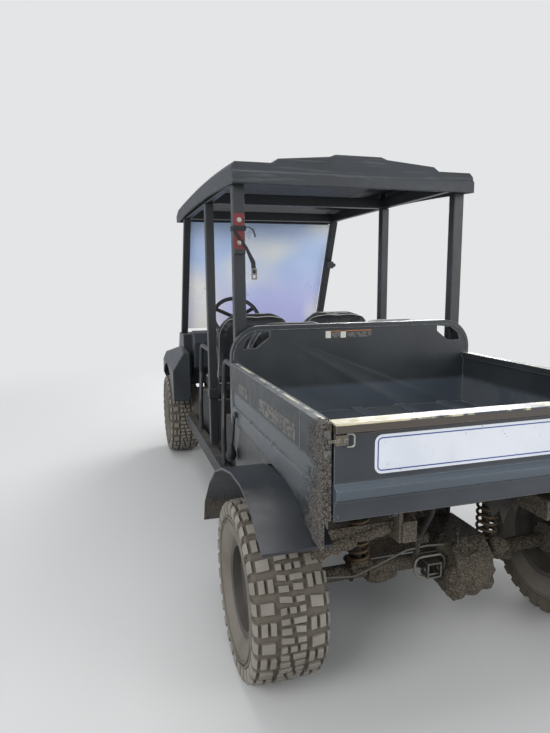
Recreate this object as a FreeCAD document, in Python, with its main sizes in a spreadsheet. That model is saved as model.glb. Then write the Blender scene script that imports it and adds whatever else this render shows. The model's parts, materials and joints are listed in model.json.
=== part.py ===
"""Four seat side by side utility vehicle with a tipping cargo bed.

Millimetres. +X is the vehicle's left, +Y its rear, +Z up. The origin is on the ground, in the
middle of the overall length and width. The cab and bed are black plastic and painted steel on
a ladder frame with a solid rear axle and double arm front suspension.
"""
import FreeCAD
import Part
import math
import os
import re

import Sketcher
from FreeCAD import Placement, Rotation, Vector

doc = FreeCAD.newDocument("SideBySide")
sheet = doc.addObject("Spreadsheet::Sheet", "Sizes")

# Name, value in millimetres, degrees or a count, and what it is.
SIZES = [
    ("wheelbase", 2850, "front axle to rear axle"),
    ("rear_axle_y", 1450, "rear wheel centres"),
    ("front_overhang", 550, "front axle to the bumper tube's face"),
    ("rear_overhang", 500, "rear axle to the tailgate's bead"),
    ("wheel_radius", 317.5, "25 inch tyre, to the lug tips"),
    ("wheel_beyond", 25, "rear tyre's middle outside the bed's side"),
    ("front_wheel_x", 616, "front tyre centre plane from the middle"),
    ("rear_tyre_width", 258, "over the shoulder lugs"),
    ("front_tyre_width", 234, "over the shoulder lugs"),
    ("bead_radius", 152.4, "12 inch rim"),
    ("rim_lip", 13, "rim flange above the bead seat"),
    ("rim_wall", 6, "rim barrel and disc plate"),
    ("rim_inset", 28, "rim flange inside the tyre's width, each side"),
    ("rim_well", 18, "depth of the rim's drop centre"),
    ("lug_depth", 13, "tread lugs above the carcass"),
    ("lug_pitches", 15, "lugs round a tyre in each row"),
    ("front_offset", 19, "front wheel disc inside the tyre's middle"),
    ("rear_offset", 21, "rear wheel disc inside the tyre's middle"),
    ("hub_hole_count", 8, "round windows in a wheel disc"),
    ("hub_hole_radius", 16, "radius of one window"),
    ("hub_hole_circle", 98, "radius of the circle of windows"),
    ("spindle_radius", 19, "wheel spindle"),
    ("running_gap", 0.05, "radial clearance of a shaft in its hole"),
    ("seat_gap", 0.3, "clearance between pieces that are seated"),
    ("moving_gap", 5, "least clearance of moving panels"),
    # Frame
    ("rail_x", 280, "frame rail centre"),
    ("rail_wide", 50, "frame rail width"),
    ("rail_tall", 70, "frame rail height"),
    ("low_rail_z", 270, "rail underside below the cab"),
    ("nose_rail_z", 370, "rail underside between the front wheels"),
    ("tail_rail_z", 580, "rail underside above the rear axle"),
    ("rail_nose", 100, "front end of the rails behind the nose"),
    ("rail_tail", 40, "rear end of the rails behind the bed's pivot"),
    ("nose_kick_y", -980, "front kick of the rails"),
    ("tail_kick_y", 770, "rear kick of the rails"),
    ("sill_in_x", 570, "inner face of the side sills"),
    ("sill_out_x", 620, "outer face of the side sills"),
    ("sill_low_z", 340, "underside of the side sills"),
    ("sill_top_z", 405, "top of the side sills"),
    ("sill_front_y", -930, "front end of the sills"),
    ("sill_rear_y", 735, "rear end of the sills"),
    ("cross_wide", 46, "cross member, front to back"),
    ("cross_tall", 44, "cross member height"),
    # Cargo bed
    ("bed_front_y", 747, "outer front face of the bed"),
    ("bed_half", 636, "half of the bed's outer width"),
    ("bed_floor_z", 775, "top of the bed floor"),
    ("bed_floor_thick", 20, "bed floor"),
    ("bed_top_z", 1034, "top of the side walls"),
    ("bed_wall", 28, "side wall thickness"),
    ("bed_skin", 8, "outer skin that hangs down as the skirt"),
    ("bed_crease_z", 910, "crease along the outer side"),
    ("bed_bevel_z", 840, "lower edge of the side's pressed band"),
    ("bed_band_depth", 6, "depth of the pressed band"),
    ("rail_lip_wide", 38, "rolled top rail of the side wall"),
    ("rail_lip_tall", 26, "height of the rolled top rail"),
    ("head_top_z", 1206, "top of the headboard"),
    ("head_thick", 28, "headboard thickness"),
    ("head_corner", 145, "radius of the headboard's top corners"),
    ("rib_count", 5, "floor ribs"),
    ("rib_wide", 60, "width of a floor rib"),
    ("rib_tall", 8, "height of a floor rib"),
    ("pivot_y", 1750, "bed pivot, front to back"),
    ("pivot_z", 700, "bed pivot height"),
    ("pivot_radius", 12, "bed pivot pin"),
    ("bed_rail_x", 322, "inner face of the bed's under rails"),
    ("bed_rail_wide", 30, "width of the bed's under rails"),
    ("bed_rail_tall", 55, "height of the bed's under rails"),
    ("pivot_lug", 35, "half length of a pivot lug"),
    ("rest_bar_y", 845, "bar that the front of the bed rests on"),
    # Rear fenders
    ("fender_lap", 61, "how far the fender arch reaches in under the bed"),
    ("fender_wall", 6, "fender thickness"),
    # Tailgate
    ("gate_thick", 40, "tailgate panel with its returned edges"),
    ("gate_bead", 20, "how far the ridge stands out"),
    ("gate_low_z", 752, "bottom of the tailgate"),
    ("gate_pivot_in", 18, "tailgate hinge ahead of the outer face"),
    ("gate_pivot_z", 767, "tailgate hinge height"),
    ("gate_pin_radius", 8, "tailgate hinge pin"),
    ("gate_rail_tall", 34, "rolled top rail of the tailgate"),
    ("gate_ridge_z", 833, "middle of the tailgate's long ridge"),
    ("gate_ridge_tall", 26, "height of the ridge"),
    ("gate_skin", 12, "tailgate panel at its recess"),
    ("latch_wide", 46, "tailgate latch plate"),
    ("latch_plate", 5, "thickness of a latch plate"),
    # Cab frame
    ("post_x", 577, "middle of the front posts"),
    ("post_wide", 50, "post width, side to side"),
    ("post_deep", 50, "post depth, front to back"),
    ("rear_post_x", 576, "middle of the rear posts"),
    ("rear_post_wide", 56, "rear post width"),
    ("front_post_top_y", -934, "front post at the roof rails"),
    ("front_post_foot_y", -1290, "front post at the cowl"),
    ("mid_post_y", -78, "middle post"),
    ("mid_post_x", 570, "middle of the middle posts"),
    ("rear_post_y", 705, "rear post"),
    ("roof_rail_z", 1862, "underside of the roof rails"),
    ("roof_rail_tall", 60, "height of the roof rails"),
    ("bracket_low_z", 1541, "bottom of the bracket on the left rear post"),
    ("bracket_tall", 176, "height of the bracket"),
    ("bracket_plate", 5, "bracket plate"),
    ("bracket_foot", 15, "height of the bracket's bottom lip"),
    # Roof
    ("roof_half", 618, "half of the roof's width"),
    ("roof_wall", 12, "roof thickness"),
    ("roof_rear_y", 790, "rear end of the roof"),
    ("roof_front_y", -1230, "front tip of the roof"),
    ("roof_low_z", 1838, "lower edge of the roof's rim"),
    ("roof_fascia", 51, "height of the upright rear edge"),
    ("roof_lean", 30, "how far the rear face leans in above its edge"),
    ("roof_round", 16, "bevel of the roof's long edges"),
    ("roof_bend_y", -500, "where the roof starts to fall"),
    ("roof_nose_drop", 104, "fall of the roof to its front tip"),
    ("roof_bevel", 21, "first step of the crown"),
    ("roof_shoulder", 43, "crown at its shoulders"),
    ("roof_crown", 55, "crown at the middle"),
    ("roof_step_x", 425, "foot of the first step"),
    ("roof_bevel_x", 400, "top of the first step"),
    ("roof_shoulder_x", 148, "foot of the middle step"),
    ("roof_crown_x", 118, "top of the middle step"),
    # Windshield
    ("screen_thick", 6, "windshield thickness"),
    ("screen_top_z", 1844, "top of the windshield"),
    ("screen_top_y", -969, "windshield top"),
    ("screen_foot_y", -1318, "windshield foot"),
    ("screen_foot_z", 1030, "windshield foot height"),
    # Front body
    ("cowl_wall", 6, "front body panel thickness"),
    ("hood_half", 470, "half of the hood's width"),
    ("front_fender_half", 720, "half of the width over the front fenders"),
    ("cowl_rear_y", -1100, "fire wall"),
    ("cowl_top_z", 1000, "hood at the windshield"),
    ("nose_back", 50, "front face of the nose behind the bumper tube's face"),
    ("nose_top_z", 800, "top of the nose"),
    ("nose_low_z", 500, "bottom of the nose"),
    ("front_arch_radius", 405, "wheel arch radius"),
    ("front_arch_in_x", 330, "inner end of the wheel arch"),
    ("nose_taper", 150, "how far the corners of the nose are drawn in, seen from above"),
    ("cowl_shoulder", 110, "slope of the front fenders' tops, seen from ahead"),
    ("lamp_x", 350, "headlamp centre"),
    ("lamp_z", 690, "headlamp centre height"),
    ("lamp_wide", 130, "headlamp width"),
    ("lamp_tall", 90, "headlamp height"),
    ("grille_half", 235, "half of the grille's width"),
    ("grille_low_z", 560, "grille bottom"),
    ("grille_top_z", 745, "grille top"),
    ("grille_bar_count", 5, "grille bars"),
    ("grille_bar_tall", 12, "height of one bar"),
    ("bumper_tube", 20, "radius of the bumper tube"),
    ("bumper_half", 300, "bumper upright from the middle"),
    ("bumper_low_z", 330, "bottom of the bumper"),
    ("bumper_top_z", 640, "top of the bumper, tube centre"),
    ("bumper_bend", 90, "bend radius of the bumper tube"),
    # Cab
    ("floor_thick", 16, "cab floor"),
    ("dash_half", 555, "half of the dashboard's width"),
    ("seat_half_gap", 27, "seat's inner edge from the middle"),
    ("seat_wide", 500, "seat width"),
    ("front_seat_y", -118, "top of the front seat backs"),
    ("rear_seat_y", 690, "top of the rear seat backs"),
    ("seat_top_z", 1230, "top of the seat backs"),
    ("seat_back_deep", 95, "thickness of a seat back"),
    ("seat_recline", 95, "how far a seat back leans over its height"),
    ("cushion_top_z", 765, "top of the seat cushions"),
    ("cushion_thick", 120, "thickness of a seat cushion"),
    ("cushion_long", 440, "length of a seat cushion"),
    ("base_wall", 5, "seat base panels"),
    ("base_half", 540, "half of the seat base's width"),
    ("hoop_tube", 14, "radius of the hip restraint tube"),
    ("hoop_top_z", 985, "top of the hip restraints"),
    ("hoop_reach", 370, "reach of a hip restraint ahead of its post"),
    ("hoop_bend", 60, "bend radius of the restraint tube"),
    # Steering
    ("wheel_hub_x", 278, "steering wheel centre, side to side"),
    ("wheel_hub_y", -690, "steering wheel centre, front to back"),
    ("wheel_hub_z", 1147, "steering wheel centre height"),
    ("column_tilt", 35, "column above level"),
    ("column_length", 330, "column from the dash to the wheel's hub"),
    ("column_radius", 24, "column tube"),
    ("steering_rim", 165, "steering wheel rim radius, tube centre"),
    ("steering_grip", 14, "steering wheel rim tube"),
    ("kingpin_x", 510, "front wheels' turning axis"),
    ("steer_arm", 90, "steering arm, turning axis to rod eye"),
    ("upper_arm_z", 410, "underside of the upper suspension arms"),
    ("lower_arm_z", 195, "underside of the lower suspension arms"),
    ("arm_thick", 22, "suspension arm thickness"),
    ("shock_x", 385, "front shock"),
    ("shock_top_z", 610, "top of the front shocks"),
    ("shock_radius", 26, "outside of a front shock's spring"),
    ("ball_pin", 9, "radius of the ball joint pins"),
    ("rod_radius", 10, "tie rod"),
    ("rod_z", 312, "tie rod height"),
    # Rear axle and drive
    ("axle_tube", 29, "radius of the rear axle tube"),
    ("axle_tube_y", 1430, "rear axle tube, front to back"),
    ("axle_tube_z", 300, "rear axle tube height"),
    ("case_left_x", -70, "left face of the transaxle"),
    ("case_right_x", -232, "right face of the transaxle"),
    ("case_low_z", 180, "bottom of the transaxle"),
    ("case_top_z", 400, "top of the transaxle"),
    ("spring_x", 290, "rear springs"),
    ("spring_radius", 44, "outside of a coil spring"),
    ("spring_wire", 6, "radius of the spring wire"),
    ("coil_pitch", 25, "turn to turn of a rear spring"),
    ("coil_count", 9, "turns of a rear spring"),
    ("loop_wire", 5, "radius of the chain loop's wire"),
    ("receiver_out", 62, "hitch receiver, outside"),
    ("receiver_in", 51, "hitch receiver, inside"),
    ("receiver_long", 52.7, "hitch receiver, axle tube to mouth"),
    ("receiver_z", 290, "hitch receiver centre height"),
    ("pin_hole_radius", 8, "hitch pin hole"),
    ("engine_half", 225, "half of the engine's width"),
    ("engine_front_y", 960, "front of the engine"),
    ("engine_rear_y", 1270, "rear of the engine"),
    ("engine_low_z", 245, "bottom of the engine"),
    ("engine_top_z", 640, "top of the engine"),
    ("line_radius", 4, "rear brake line"),
]

# Places worked out from the sizes above.
PLACES = {
    "front_axle_y": "rear_axle_y - wheelbase",
    "rear_wheel_x": "(bed_half + wheel_beyond)",
    "front_disc_x": "(front_wheel_x - front_offset)",
    "rear_disc_x": "(rear_wheel_x - rear_offset)",
    "rail_in_x": "rail_x - rail_wide / 2",
    "rail_out_x": "rail_x + rail_wide / 2",
    "low_rail_top_z": "low_rail_z + rail_tall",
    "nose_rail_top_z": "nose_rail_z + rail_tall",
    "tail_rail_top_z": "tail_rail_z + rail_tall",
    "front_face_y": "(rear_axle_y - wheelbase - front_overhang)",
    "rear_face_y": "(rear_axle_y + rear_overhang)",
    "nose_y": "(front_face_y + nose_back)",
    "rail_front_y": "(nose_y + rail_nose)",
    "rail_rear_y": "(pivot_y + rail_tail)",
    "gate_out_y": "(rear_face_y - gate_bead)",
    "gate_in_y": "(gate_out_y - gate_thick)",
    "gate_pivot_y": "(gate_out_y - gate_pivot_in)",
    "bed_rear_y": "(gate_out_y - 4)",
    "fender_in_x": "(bed_half - fender_lap)",
    "fender_out_x": "(rear_wheel_x + rear_tyre_width / 2)",
    "receiver_mouth_y": "(axle_tube_y + axle_tube + seat_gap + receiver_long)",
    "bed_in_x": "bed_half - bed_wall",
    "bed_under_z": "bed_floor_z - bed_floor_thick",
    "bed_rail_low_z": "bed_under_z - bed_rail_tall",
    "gate_half": "bed_in_x - moving_gap - 1",
    "floor_low_z": "low_rail_top_z + seat_gap",
    "floor_top_z": "floor_low_z + floor_thick",
    "roof_rail_top_z": "roof_rail_z + roof_rail_tall",
    "cushion_low_z": "cushion_top_z - cushion_thick",
    "seat_back_low_z": "cushion_top_z + seat_gap",
    "front_post_foot_z": "cowl_top_z + seat_gap",
    "roof_edge_z": "roof_rail_top_z + seat_gap + roof_wall",
    "screen_half": "post_x - post_wide / 2 - seat_gap",
    "scuttle_half": "post_x + post_wide / 2 + 10",
    "cab_half": "sill_in_x + 20",
    "spindle_hole": "spindle_radius + running_gap",
    "steer_arm_y": "front_axle_y - steer_arm",
    "steer_arm_x": "kingpin_x - 25",
}

for row, (name, number, note) in enumerate(SIZES, start=1):
    sheet.set(f"A{row}", name)
    sheet.set(f"B{row}", str(number))
    sheet.set(f"C{row}", note)
    sheet.setAlias(f"B{row}", name)
doc.recompute()

ALIASES = {name for name, number, note in SIZES}
WORD = re.compile(r"[a-z][a-z_0-9]*")
NODES = []


def bound(text):
    """The expression with each size read from the sheet and each place worked out."""
    def swap(match):
        word = match.group()
        if word in PLACES:
            return f"({bound(PLACES[word])})"
        return f"Sizes.{word}" if word in ALIASES else word
    return WORD.sub(swap, str(text))


def value(text):
    """The expression's number now, in millimetres or degrees."""
    return float(sheet.evalExpression(bound(text)))


def point(x, y, z):
    """A vector from three expressions."""
    return Vector(value(x), value(y), value(z))


def node(label, made):
    """Gives a finished sub-part its label and lists it."""
    made.Label = label
    NODES.append(made)
    return made


def move(made, x="0", y="0", z="0", axis=None, angle="0"):
    """Binds an object's placement to the sheet, turned by angle about axis."""
    if axis:
        made.Placement = Placement(Vector(), Rotation(Vector(*axis), value(angle)))
        made.setExpression("Placement.Rotation.Angle", bound(angle))
    for side, text in (("x", x), ("y", y), ("z", z)):
        made.setExpression(f"Placement.Base.{side}", bound(text))
    return made


def box(x, y, z):
    """A block between the low and high planes that x, y and z name."""
    made = doc.addObject("Part::Box", "Block")
    for size, (low, high) in zip(("Length", "Width", "Height"), (x, y, z)):
        made.setExpression(size, bound(f"({high}) - ({low})"))
    return move(made, x[0], y[0], z[0])


AXES = {"X": ((0, 1, 0), "90"), "Y": ((1, 0, 0), "-90"), "Z": (None, "0")}


def cylinder(along, start, length, radius):
    """A cylinder from the point start towards +X, +Y or +Z."""
    made = doc.addObject("Part::Cylinder", "Round")
    made.setExpression("Radius", bound(radius))
    made.setExpression("Height", bound(length))
    axis, angle = AXES[along]
    return move(made, *start, axis=axis, angle=angle)


def tube(label, points, radius, bend):
    """A round bar along straight runs joined by arcs, worked out from the sheet's sizes."""
    path = bent_path([point(*p) for p in points], value(bend))
    start, way = path.Vertexes[0].Point, path.Edges[0].tangentAt(0)
    ring = Part.Wire(Part.makeCircle(value(radius), start, way))
    made = doc.addObject("Part::Feature", label)
    made.Shape = Part.Wire(path).makePipeShell([ring], True, False)
    return made


def bent_path(places, bend):
    """A wire of runs between the places, with an arc of radius bend at each corner."""
    edges, last = [], places[0]
    for before, corner, after in zip(places, places[1:], places[2:]):
        inward, outward = (before - corner).normalize(), (after - corner).normalize()
        half_angle = inward.getAngle(outward) / 2
        back = bend / math.tan(half_angle)
        middle = (inward + outward).normalize()
        rise = bend / math.sin(half_angle) - bend
        first, mid, second = corner + inward * back, corner + middle * rise, corner + outward * back
        edges += [Part.makeLine(last, first), Part.Arc(first, mid, second).toShape()]
        last = second
    return Part.Wire(edges + [Part.makeLine(last, places[-1])])


def bar(label, start, end, radius):
    """A straight round bar between two points."""
    first, last = point(*start), point(*end)
    made = doc.addObject("Part::Feature", label)
    way = last - first
    made.Shape = Part.makeCylinder(value(radius), way.Length, first, way)
    return made


PLANES = {"XY": "XY_Plane", "XZ": "XZ_Plane", "YZ": "YZ_Plane"}


def outline(body, plane, at, points):
    """A closed sketch on one of the body's planes, each corner locked to the sheet."""
    sketch = body.newObject("Sketcher::SketchObject", "Outline")
    origin = next(f for f in body.Origin.OriginFeatures if f.Role == PLANES[plane])
    sketch.AttachmentSupport = [(origin, "")]
    sketch.MapMode = "FlatFace"
    sketch.setExpression("AttachmentOffset.Base.z", bound(at))
    corners = [Vector(value(u), value(v), 0) for u, v in points]
    following = corners[1:] + corners[:1]
    sketch.addGeometry([Part.LineSegment(a, b) for a, b in zip(corners, following)])
    for i, (u, v) in enumerate(points):
        sketch.addConstraint(Sketcher.Constraint("Coincident", i, 2, (i + 1) % len(points), 1))
        for kind, text, number in (("DistanceX", u, corners[i].x), ("DistanceY", v, corners[i].y)):
            lock = sketch.addConstraint(Sketcher.Constraint(kind, -1, 1, i, 1, number))
            sketch.setExpression(f"Constraints[{lock}]", bound(text))
    return sketch


def round_edges(body, feature, plane, corners):
    """One fillet per radius on the padded edges that stand at the given corners."""
    doc.recompute()
    first, second = {"XY": ("x", "y"), "XZ": ("x", "z"), "YZ": ("y", "z")}[plane]
    for radius in sorted({r for u, v, r in corners}):
        wanted = [(value(u), value(v)) for u, v, r in corners if r == radius]
        names = []
        for number, edge in enumerate(feature.Shape.Edges, start=1):
            ends = [(getattr(v.Point, first), getattr(v.Point, second)) for v in edge.Vertexes]
            if len(ends) == 2 and any(
                all(math.dist(end, spot) < 0.01 for end in ends) for spot in wanted
            ):
                names.append(f"Edge{number}")
        fillet = body.newObject("PartDesign::Fillet", "Rounding")
        fillet.Base = (feature, names)
        fillet.Radius = value(radius)
        fillet.setExpression("Radius", bound(radius))
        doc.recompute()
        feature = fillet
    return feature


def prism(label, plane, points, low, high, rounds=()):
    """A body padded between two planes: points are (across, up), rounds (across, up, radius)."""
    body = doc.addObject("PartDesign::Body", label)
    start = f"-({high})" if plane == "XZ" else low
    sketch = outline(body, plane, start, points)
    pad = body.newObject("PartDesign::Pad", "Pad")
    pad.Profile = sketch
    pad.setExpression("Length", bound(f"({high}) - ({low})"))
    if rounds:
        round_edges(body, pad, plane, rounds)
    return body


def turned(label, points):
    """A body turned about the X axis: points are (along X, radius)."""
    body = doc.addObject("PartDesign::Body", label)
    sketch = outline(body, "XY", "0", points)
    spin = body.newObject("PartDesign::Revolution", "Turning")
    spin.Profile = sketch
    spin.ReferenceAxis = (sketch, ["H_Axis"])
    spin.Angle = 360
    return body


def fuse(*parts):
    made = doc.addObject("Part::MultiFuse", "Joined")
    made.Shapes = list(parts)
    made.Refine = True
    return made


def common(*parts):
    made = doc.addObject("Part::MultiCommon", "Shared")
    made.Shapes = list(parts)
    return made


def cut(base, *tools):
    made = doc.addObject("Part::Cut", "Trimmed")
    made.Base = base
    made.Tool = tools[0] if len(tools) == 1 else fuse(*tools)
    return made


def mirror(source):
    """The same piece on the vehicle's other side."""
    made = doc.addObject("Part::Mirroring", "OtherSide")
    made.Source = source
    made.Base = Vector(0, 0, 0)
    made.Normal = Vector(1, 0, 0)
    return made


def both(piece):
    return [piece, mirror(piece)]


def group(*parts):
    """Several solids that don't touch, as one sub-part."""
    made = doc.addObject("Part::Compound", "Group")
    made.Links = list(parts)
    return made


def frame():
    side = [
        ("rail_front_y", "nose_rail_z"), ("nose_kick_y - 100", "nose_rail_z"),
        ("nose_kick_y", "low_rail_z"), ("tail_kick_y", "low_rail_z"),
        ("tail_kick_y + 200", "tail_rail_z"), ("rail_rear_y", "tail_rail_z"),
        ("rail_rear_y", "tail_rail_top_z"), ("tail_kick_y + 170", "tail_rail_top_z"),
        ("tail_kick_y - 30", "low_rail_top_z"), ("nose_kick_y + 20", "low_rail_top_z"),
        ("nose_kick_y - 80", "nose_rail_top_z"), ("rail_front_y", "nose_rail_top_z"),
    ]
    rails = both(prism("Rail", "YZ", side, "rail_in_x", "rail_out_x"))
    # Middle of each cross member, front to back, its underside, and half its length.
    crossing = [
        ("rail_front_y + 40", "nose_rail_z + 10", "rail_x"),
        ("steer_arm_y", "nose_rail_z", "rail_x"),
        ("nose_kick_y + 100", "low_rail_top_z - cross_tall", "sill_in_x + 10"),
        ("mid_post_y", "low_rail_top_z - cross_tall", "sill_in_x + 10"),
        ("tail_kick_y - 75", "low_rail_top_z - cross_tall", "sill_in_x + 10"),
        ("engine_front_y - 40", "tail_rail_z - cross_tall", "rail_x"),
        ("rail_rear_y - 200", "tail_rail_z + 15", "rail_x"),
    ]
    members = [
        box((f"-({half})", half), (f"{y} - cross_wide / 2", f"{y} + cross_wide / 2"),
            (z, f"{z} + cross_tall"))
        for y, z, half in crossing
    ]
    sills = both(box(("sill_in_x", "sill_out_x"), ("sill_front_y", "sill_rear_y"),
                     ("sill_low_z - 20", "sill_top_z")))
    arm_brackets = [
        piece for side in ("-", "+") for piece in both(box(
            ("rail_in_x", "rail_out_x"),
            (f"front_axle_y {side} 55 - 19", f"front_axle_y {side} 55 + 19"),
            ("lower_arm_z - 5", "nose_rail_z + 5")))
    ]
    towers = both(fuse(
        box(("rail_x - 18", "rail_x + 18"), ("front_axle_y - 30", "front_axle_y + 30"),
            ("nose_rail_z + 10", "shock_top_z + 12")),
        box(("rail_x - 18", "shock_x + 28"), ("front_axle_y - 30", "front_axle_y + 30"),
            ("shock_top_z", "shock_top_z + 12"))))
    cowl_posts = both(box(("rail_x - 18", "rail_x + 18"),
                          ("cowl_rear_y - cowl_wall - seat_gap - 40", "cowl_rear_y - cowl_wall - seat_gap"),
                          ("nose_rail_z + 10", "cowl_top_z - 120")))
    rest_posts = both(box(("rail_x - 18", "rail_x + 18"), ("rest_bar_y + 10", "rest_bar_y + 40"),
                          ("tail_rail_z - 60", "bed_rail_low_z - 20")))
    rest_bar = box(("-bed_rail_x - bed_rail_wide", "bed_rail_x + bed_rail_wide"),
                   ("rest_bar_y", "rest_bar_y + 50"),
                   ("bed_rail_low_z - 40", "bed_rail_low_z - seat_gap"))
    ears = both(box(("rail_out_x - 2", "rail_out_x + 12"), ("pivot_y - pivot_lug", "pivot_y + pivot_lug"),
                    ("tail_rail_z", "pivot_z + 28")))
    pins = both(cylinder("X", ("rail_out_x", "pivot_y", "pivot_z"),
                         "bed_rail_x + bed_rail_wide - rail_out_x", "pivot_radius"))
    node("frame", fuse(*rails, *members, *sills, *arm_brackets, *towers, *cowl_posts,
                       *rest_posts, rest_bar, *ears, *pins))


def front_body():
    hood = [
        ("cowl_rear_y", "nose_low_z - 20"), ("cowl_rear_y", "cowl_top_z - 12"),
        ("front_post_foot_y", "cowl_top_z - 12"), ("nose_y + 60", "nose_top_z + 40"),
        ("nose_y", "nose_top_z - 30"), ("nose_y", "nose_low_z"),
    ]
    scuttle = [
        ("cowl_rear_y", "nose_low_z"), ("cowl_rear_y", "cowl_top_z"),
        ("front_post_foot_y - post_deep / 2 - 15", "cowl_top_z"),
        ("front_post_foot_y - post_deep / 2 - 90", "cowl_top_z - 130"),
        ("front_post_foot_y - post_deep / 2 - 90", "nose_low_z"),
    ]
    flank = [
        ("sill_front_y - 10", "sill_top_z + 30"), ("sill_front_y - 10", "cowl_top_z - 130"),
        ("cowl_rear_y - 120", "cowl_top_z - 100"), ("nose_y + 120", "nose_top_z - 10"),
        ("nose_y + 40", "nose_top_z - 70"), ("nose_y + 40", "nose_low_z + 40"),
    ]
    shell = []
    for inset in ("0", "cowl_wall"):
        drop = "0" if inset == "0" else "300"
        halves = ((hood, "hood_half"), (scuttle, "scuttle_half"), (flank, "front_fender_half"))
        solid = common(fuse(*(
            prism("Cowl", "YZ", inset_outline(points, inset, drop), f"-({half} - {inset})",
                  f"{half} - {inset}")
            for points, half in halves)), *cowl_limits(inset))
        cab_space = box((f"-(cab_half + {inset})", f"cab_half + {inset}"),
                        (f"cowl_rear_y - {inset}", "0"), ("-400", "cowl_top_z + 1"))
        shell.append(cut(solid, cab_space))
    arches = both(cylinder("X", ("front_arch_in_x", "front_axle_y", "wheel_radius + 15"),
                           "front_fender_half + 10 - front_arch_in_x", "front_arch_radius"))
    step_wells = both(box(("sill_in_x - 40", "front_fender_half + 1"),
                          ("front_axle_y + front_arch_radius * 0.8", "sill_front_y + 1"),
                          ("0", "sill_top_z + 100")))
    mouth = box(("-grille_half - seat_gap", "grille_half + seat_gap"), ("nose_y - 1", "nose_y + 20"),
                ("grille_low_z - seat_gap", "grille_top_z + seat_gap"))
    lamp_holes = both(lamp_block("seat_gap", "nose_y - 10", "nose_y + 50"))
    node("front_cowl", cut(shell[0], shell[1], *arches, *step_wells, mouth, *lamp_holes))
    node("headlamps", group(*both(lamp_block("0", "nose_y - 6", "nose_y + 44"))))
    rim = cut(
        box(("-grille_half", "grille_half"), ("nose_y", "nose_y + 16"), ("grille_low_z", "grille_top_z")),
        box(("-grille_half + 14", "grille_half - 14"), ("nose_y - 1", "nose_y + 17"),
            ("grille_low_z + 14", "grille_top_z - 14")))
    pitch = "(grille_top_z - grille_low_z) / (grille_bar_count + 1)"
    bars = [
        box(("-grille_half + 4", "grille_half - 4"), ("nose_y + 2", "nose_y + 12"),
            (f"grille_low_z + {i} * {pitch} - grille_bar_tall / 2",
             f"grille_low_z + {i} * {pitch} + grille_bar_tall / 2"))
        for i in range(1, int(value("grille_bar_count")) + 1)
    ]
    node("front_grille", fuse(rim, *bars))
    bumper_y = "front_face_y + bumper_tube"
    hoop = tube("Guard", [
        ("bumper_half", bumper_y, "bumper_low_z"), ("bumper_half", bumper_y, "bumper_top_z"),
        ("-bumper_half", bumper_y, "bumper_top_z"), ("-bumper_half", bumper_y, "bumper_low_z"),
    ], "bumper_tube", "bumper_bend")
    skid = box(("-bumper_half", "bumper_half"), (f"{bumper_y} - 6", f"{bumper_y} + 6"),
               ("bumper_low_z", "nose_rail_z + 90"))
    stubs = both(box(("rail_in_x + 8", "rail_out_x - 8"), (bumper_y, "rail_front_y"),
                     ("nose_rail_z + 8", "nose_rail_top_z - 8")))
    node("front_bumper", fuse(hoop, skid, *stubs))


def cowl_limits(inset):
    """The front body's plan, drawn in at the nose, and its section with sloping fender tops."""
    # Half width and place from front to rear, then half width and height from the bottom up.
    plan = [("front_fender_half - nose_taper", "nose_y"),
            ("front_fender_half - nose_taper / 2", "nose_y + 60"),
            ("front_fender_half", "nose_y + 220"), ("front_fender_half", "0")]
    section = [("front_fender_half", "-400"), ("front_fender_half", "nose_top_z - 60"),
               ("front_fender_half - cowl_shoulder / 2", "nose_top_z + 30"),
               ("scuttle_half", "cowl_top_z - 90"), ("scuttle_half", "cowl_top_z")]
    made = []
    for plane, rows, low, high in (("XY", plan, "-400", "cowl_top_z + 1"),
                                   ("XZ", section, "nose_y - 1", "0")):
        left = [(f"{x} - {inset}", place) for x, place in rows]
        right = [(f"-({x})", place) for x, place in reversed(left)]
        made.append(prism("CowlLimit", plane, left + right, low, high))
    return made


def inset_outline(points, inset, drop):
    """A side outline moved inwards: the first and last points also drop, to leave it open below."""
    middle_y = "((nose_y + cowl_rear_y) / 2)"
    moved = []
    for i, (y, z) in enumerate(points):
        forward = value(y) < value(middle_y)
        sign = "+" if forward else "-"
        low = i in (0, len(points) - 1)
        moved.append((f"{y} {sign} {inset}", f"{z} - {drop}" if low else f"{z} - {inset}"))
    return moved


def lamp_block(gap, front, back):
    """A headlamp's outline on the left side, larger all round by gap."""
    x = ("lamp_x - lamp_wide / 2 - " + gap, "lamp_x + lamp_wide / 2 + " + gap)
    z = ("lamp_z - lamp_tall / 2 - " + gap, "lamp_z + lamp_tall / 2 + " + gap)
    corners = [(x[0], z[0]), (x[1], z[0]), (x[1], z[1]), (x[0], z[1])]
    return prism("Lamp", "XZ", corners, front, back, [(*c, "lamp_tall / 4") for c in corners])


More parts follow.
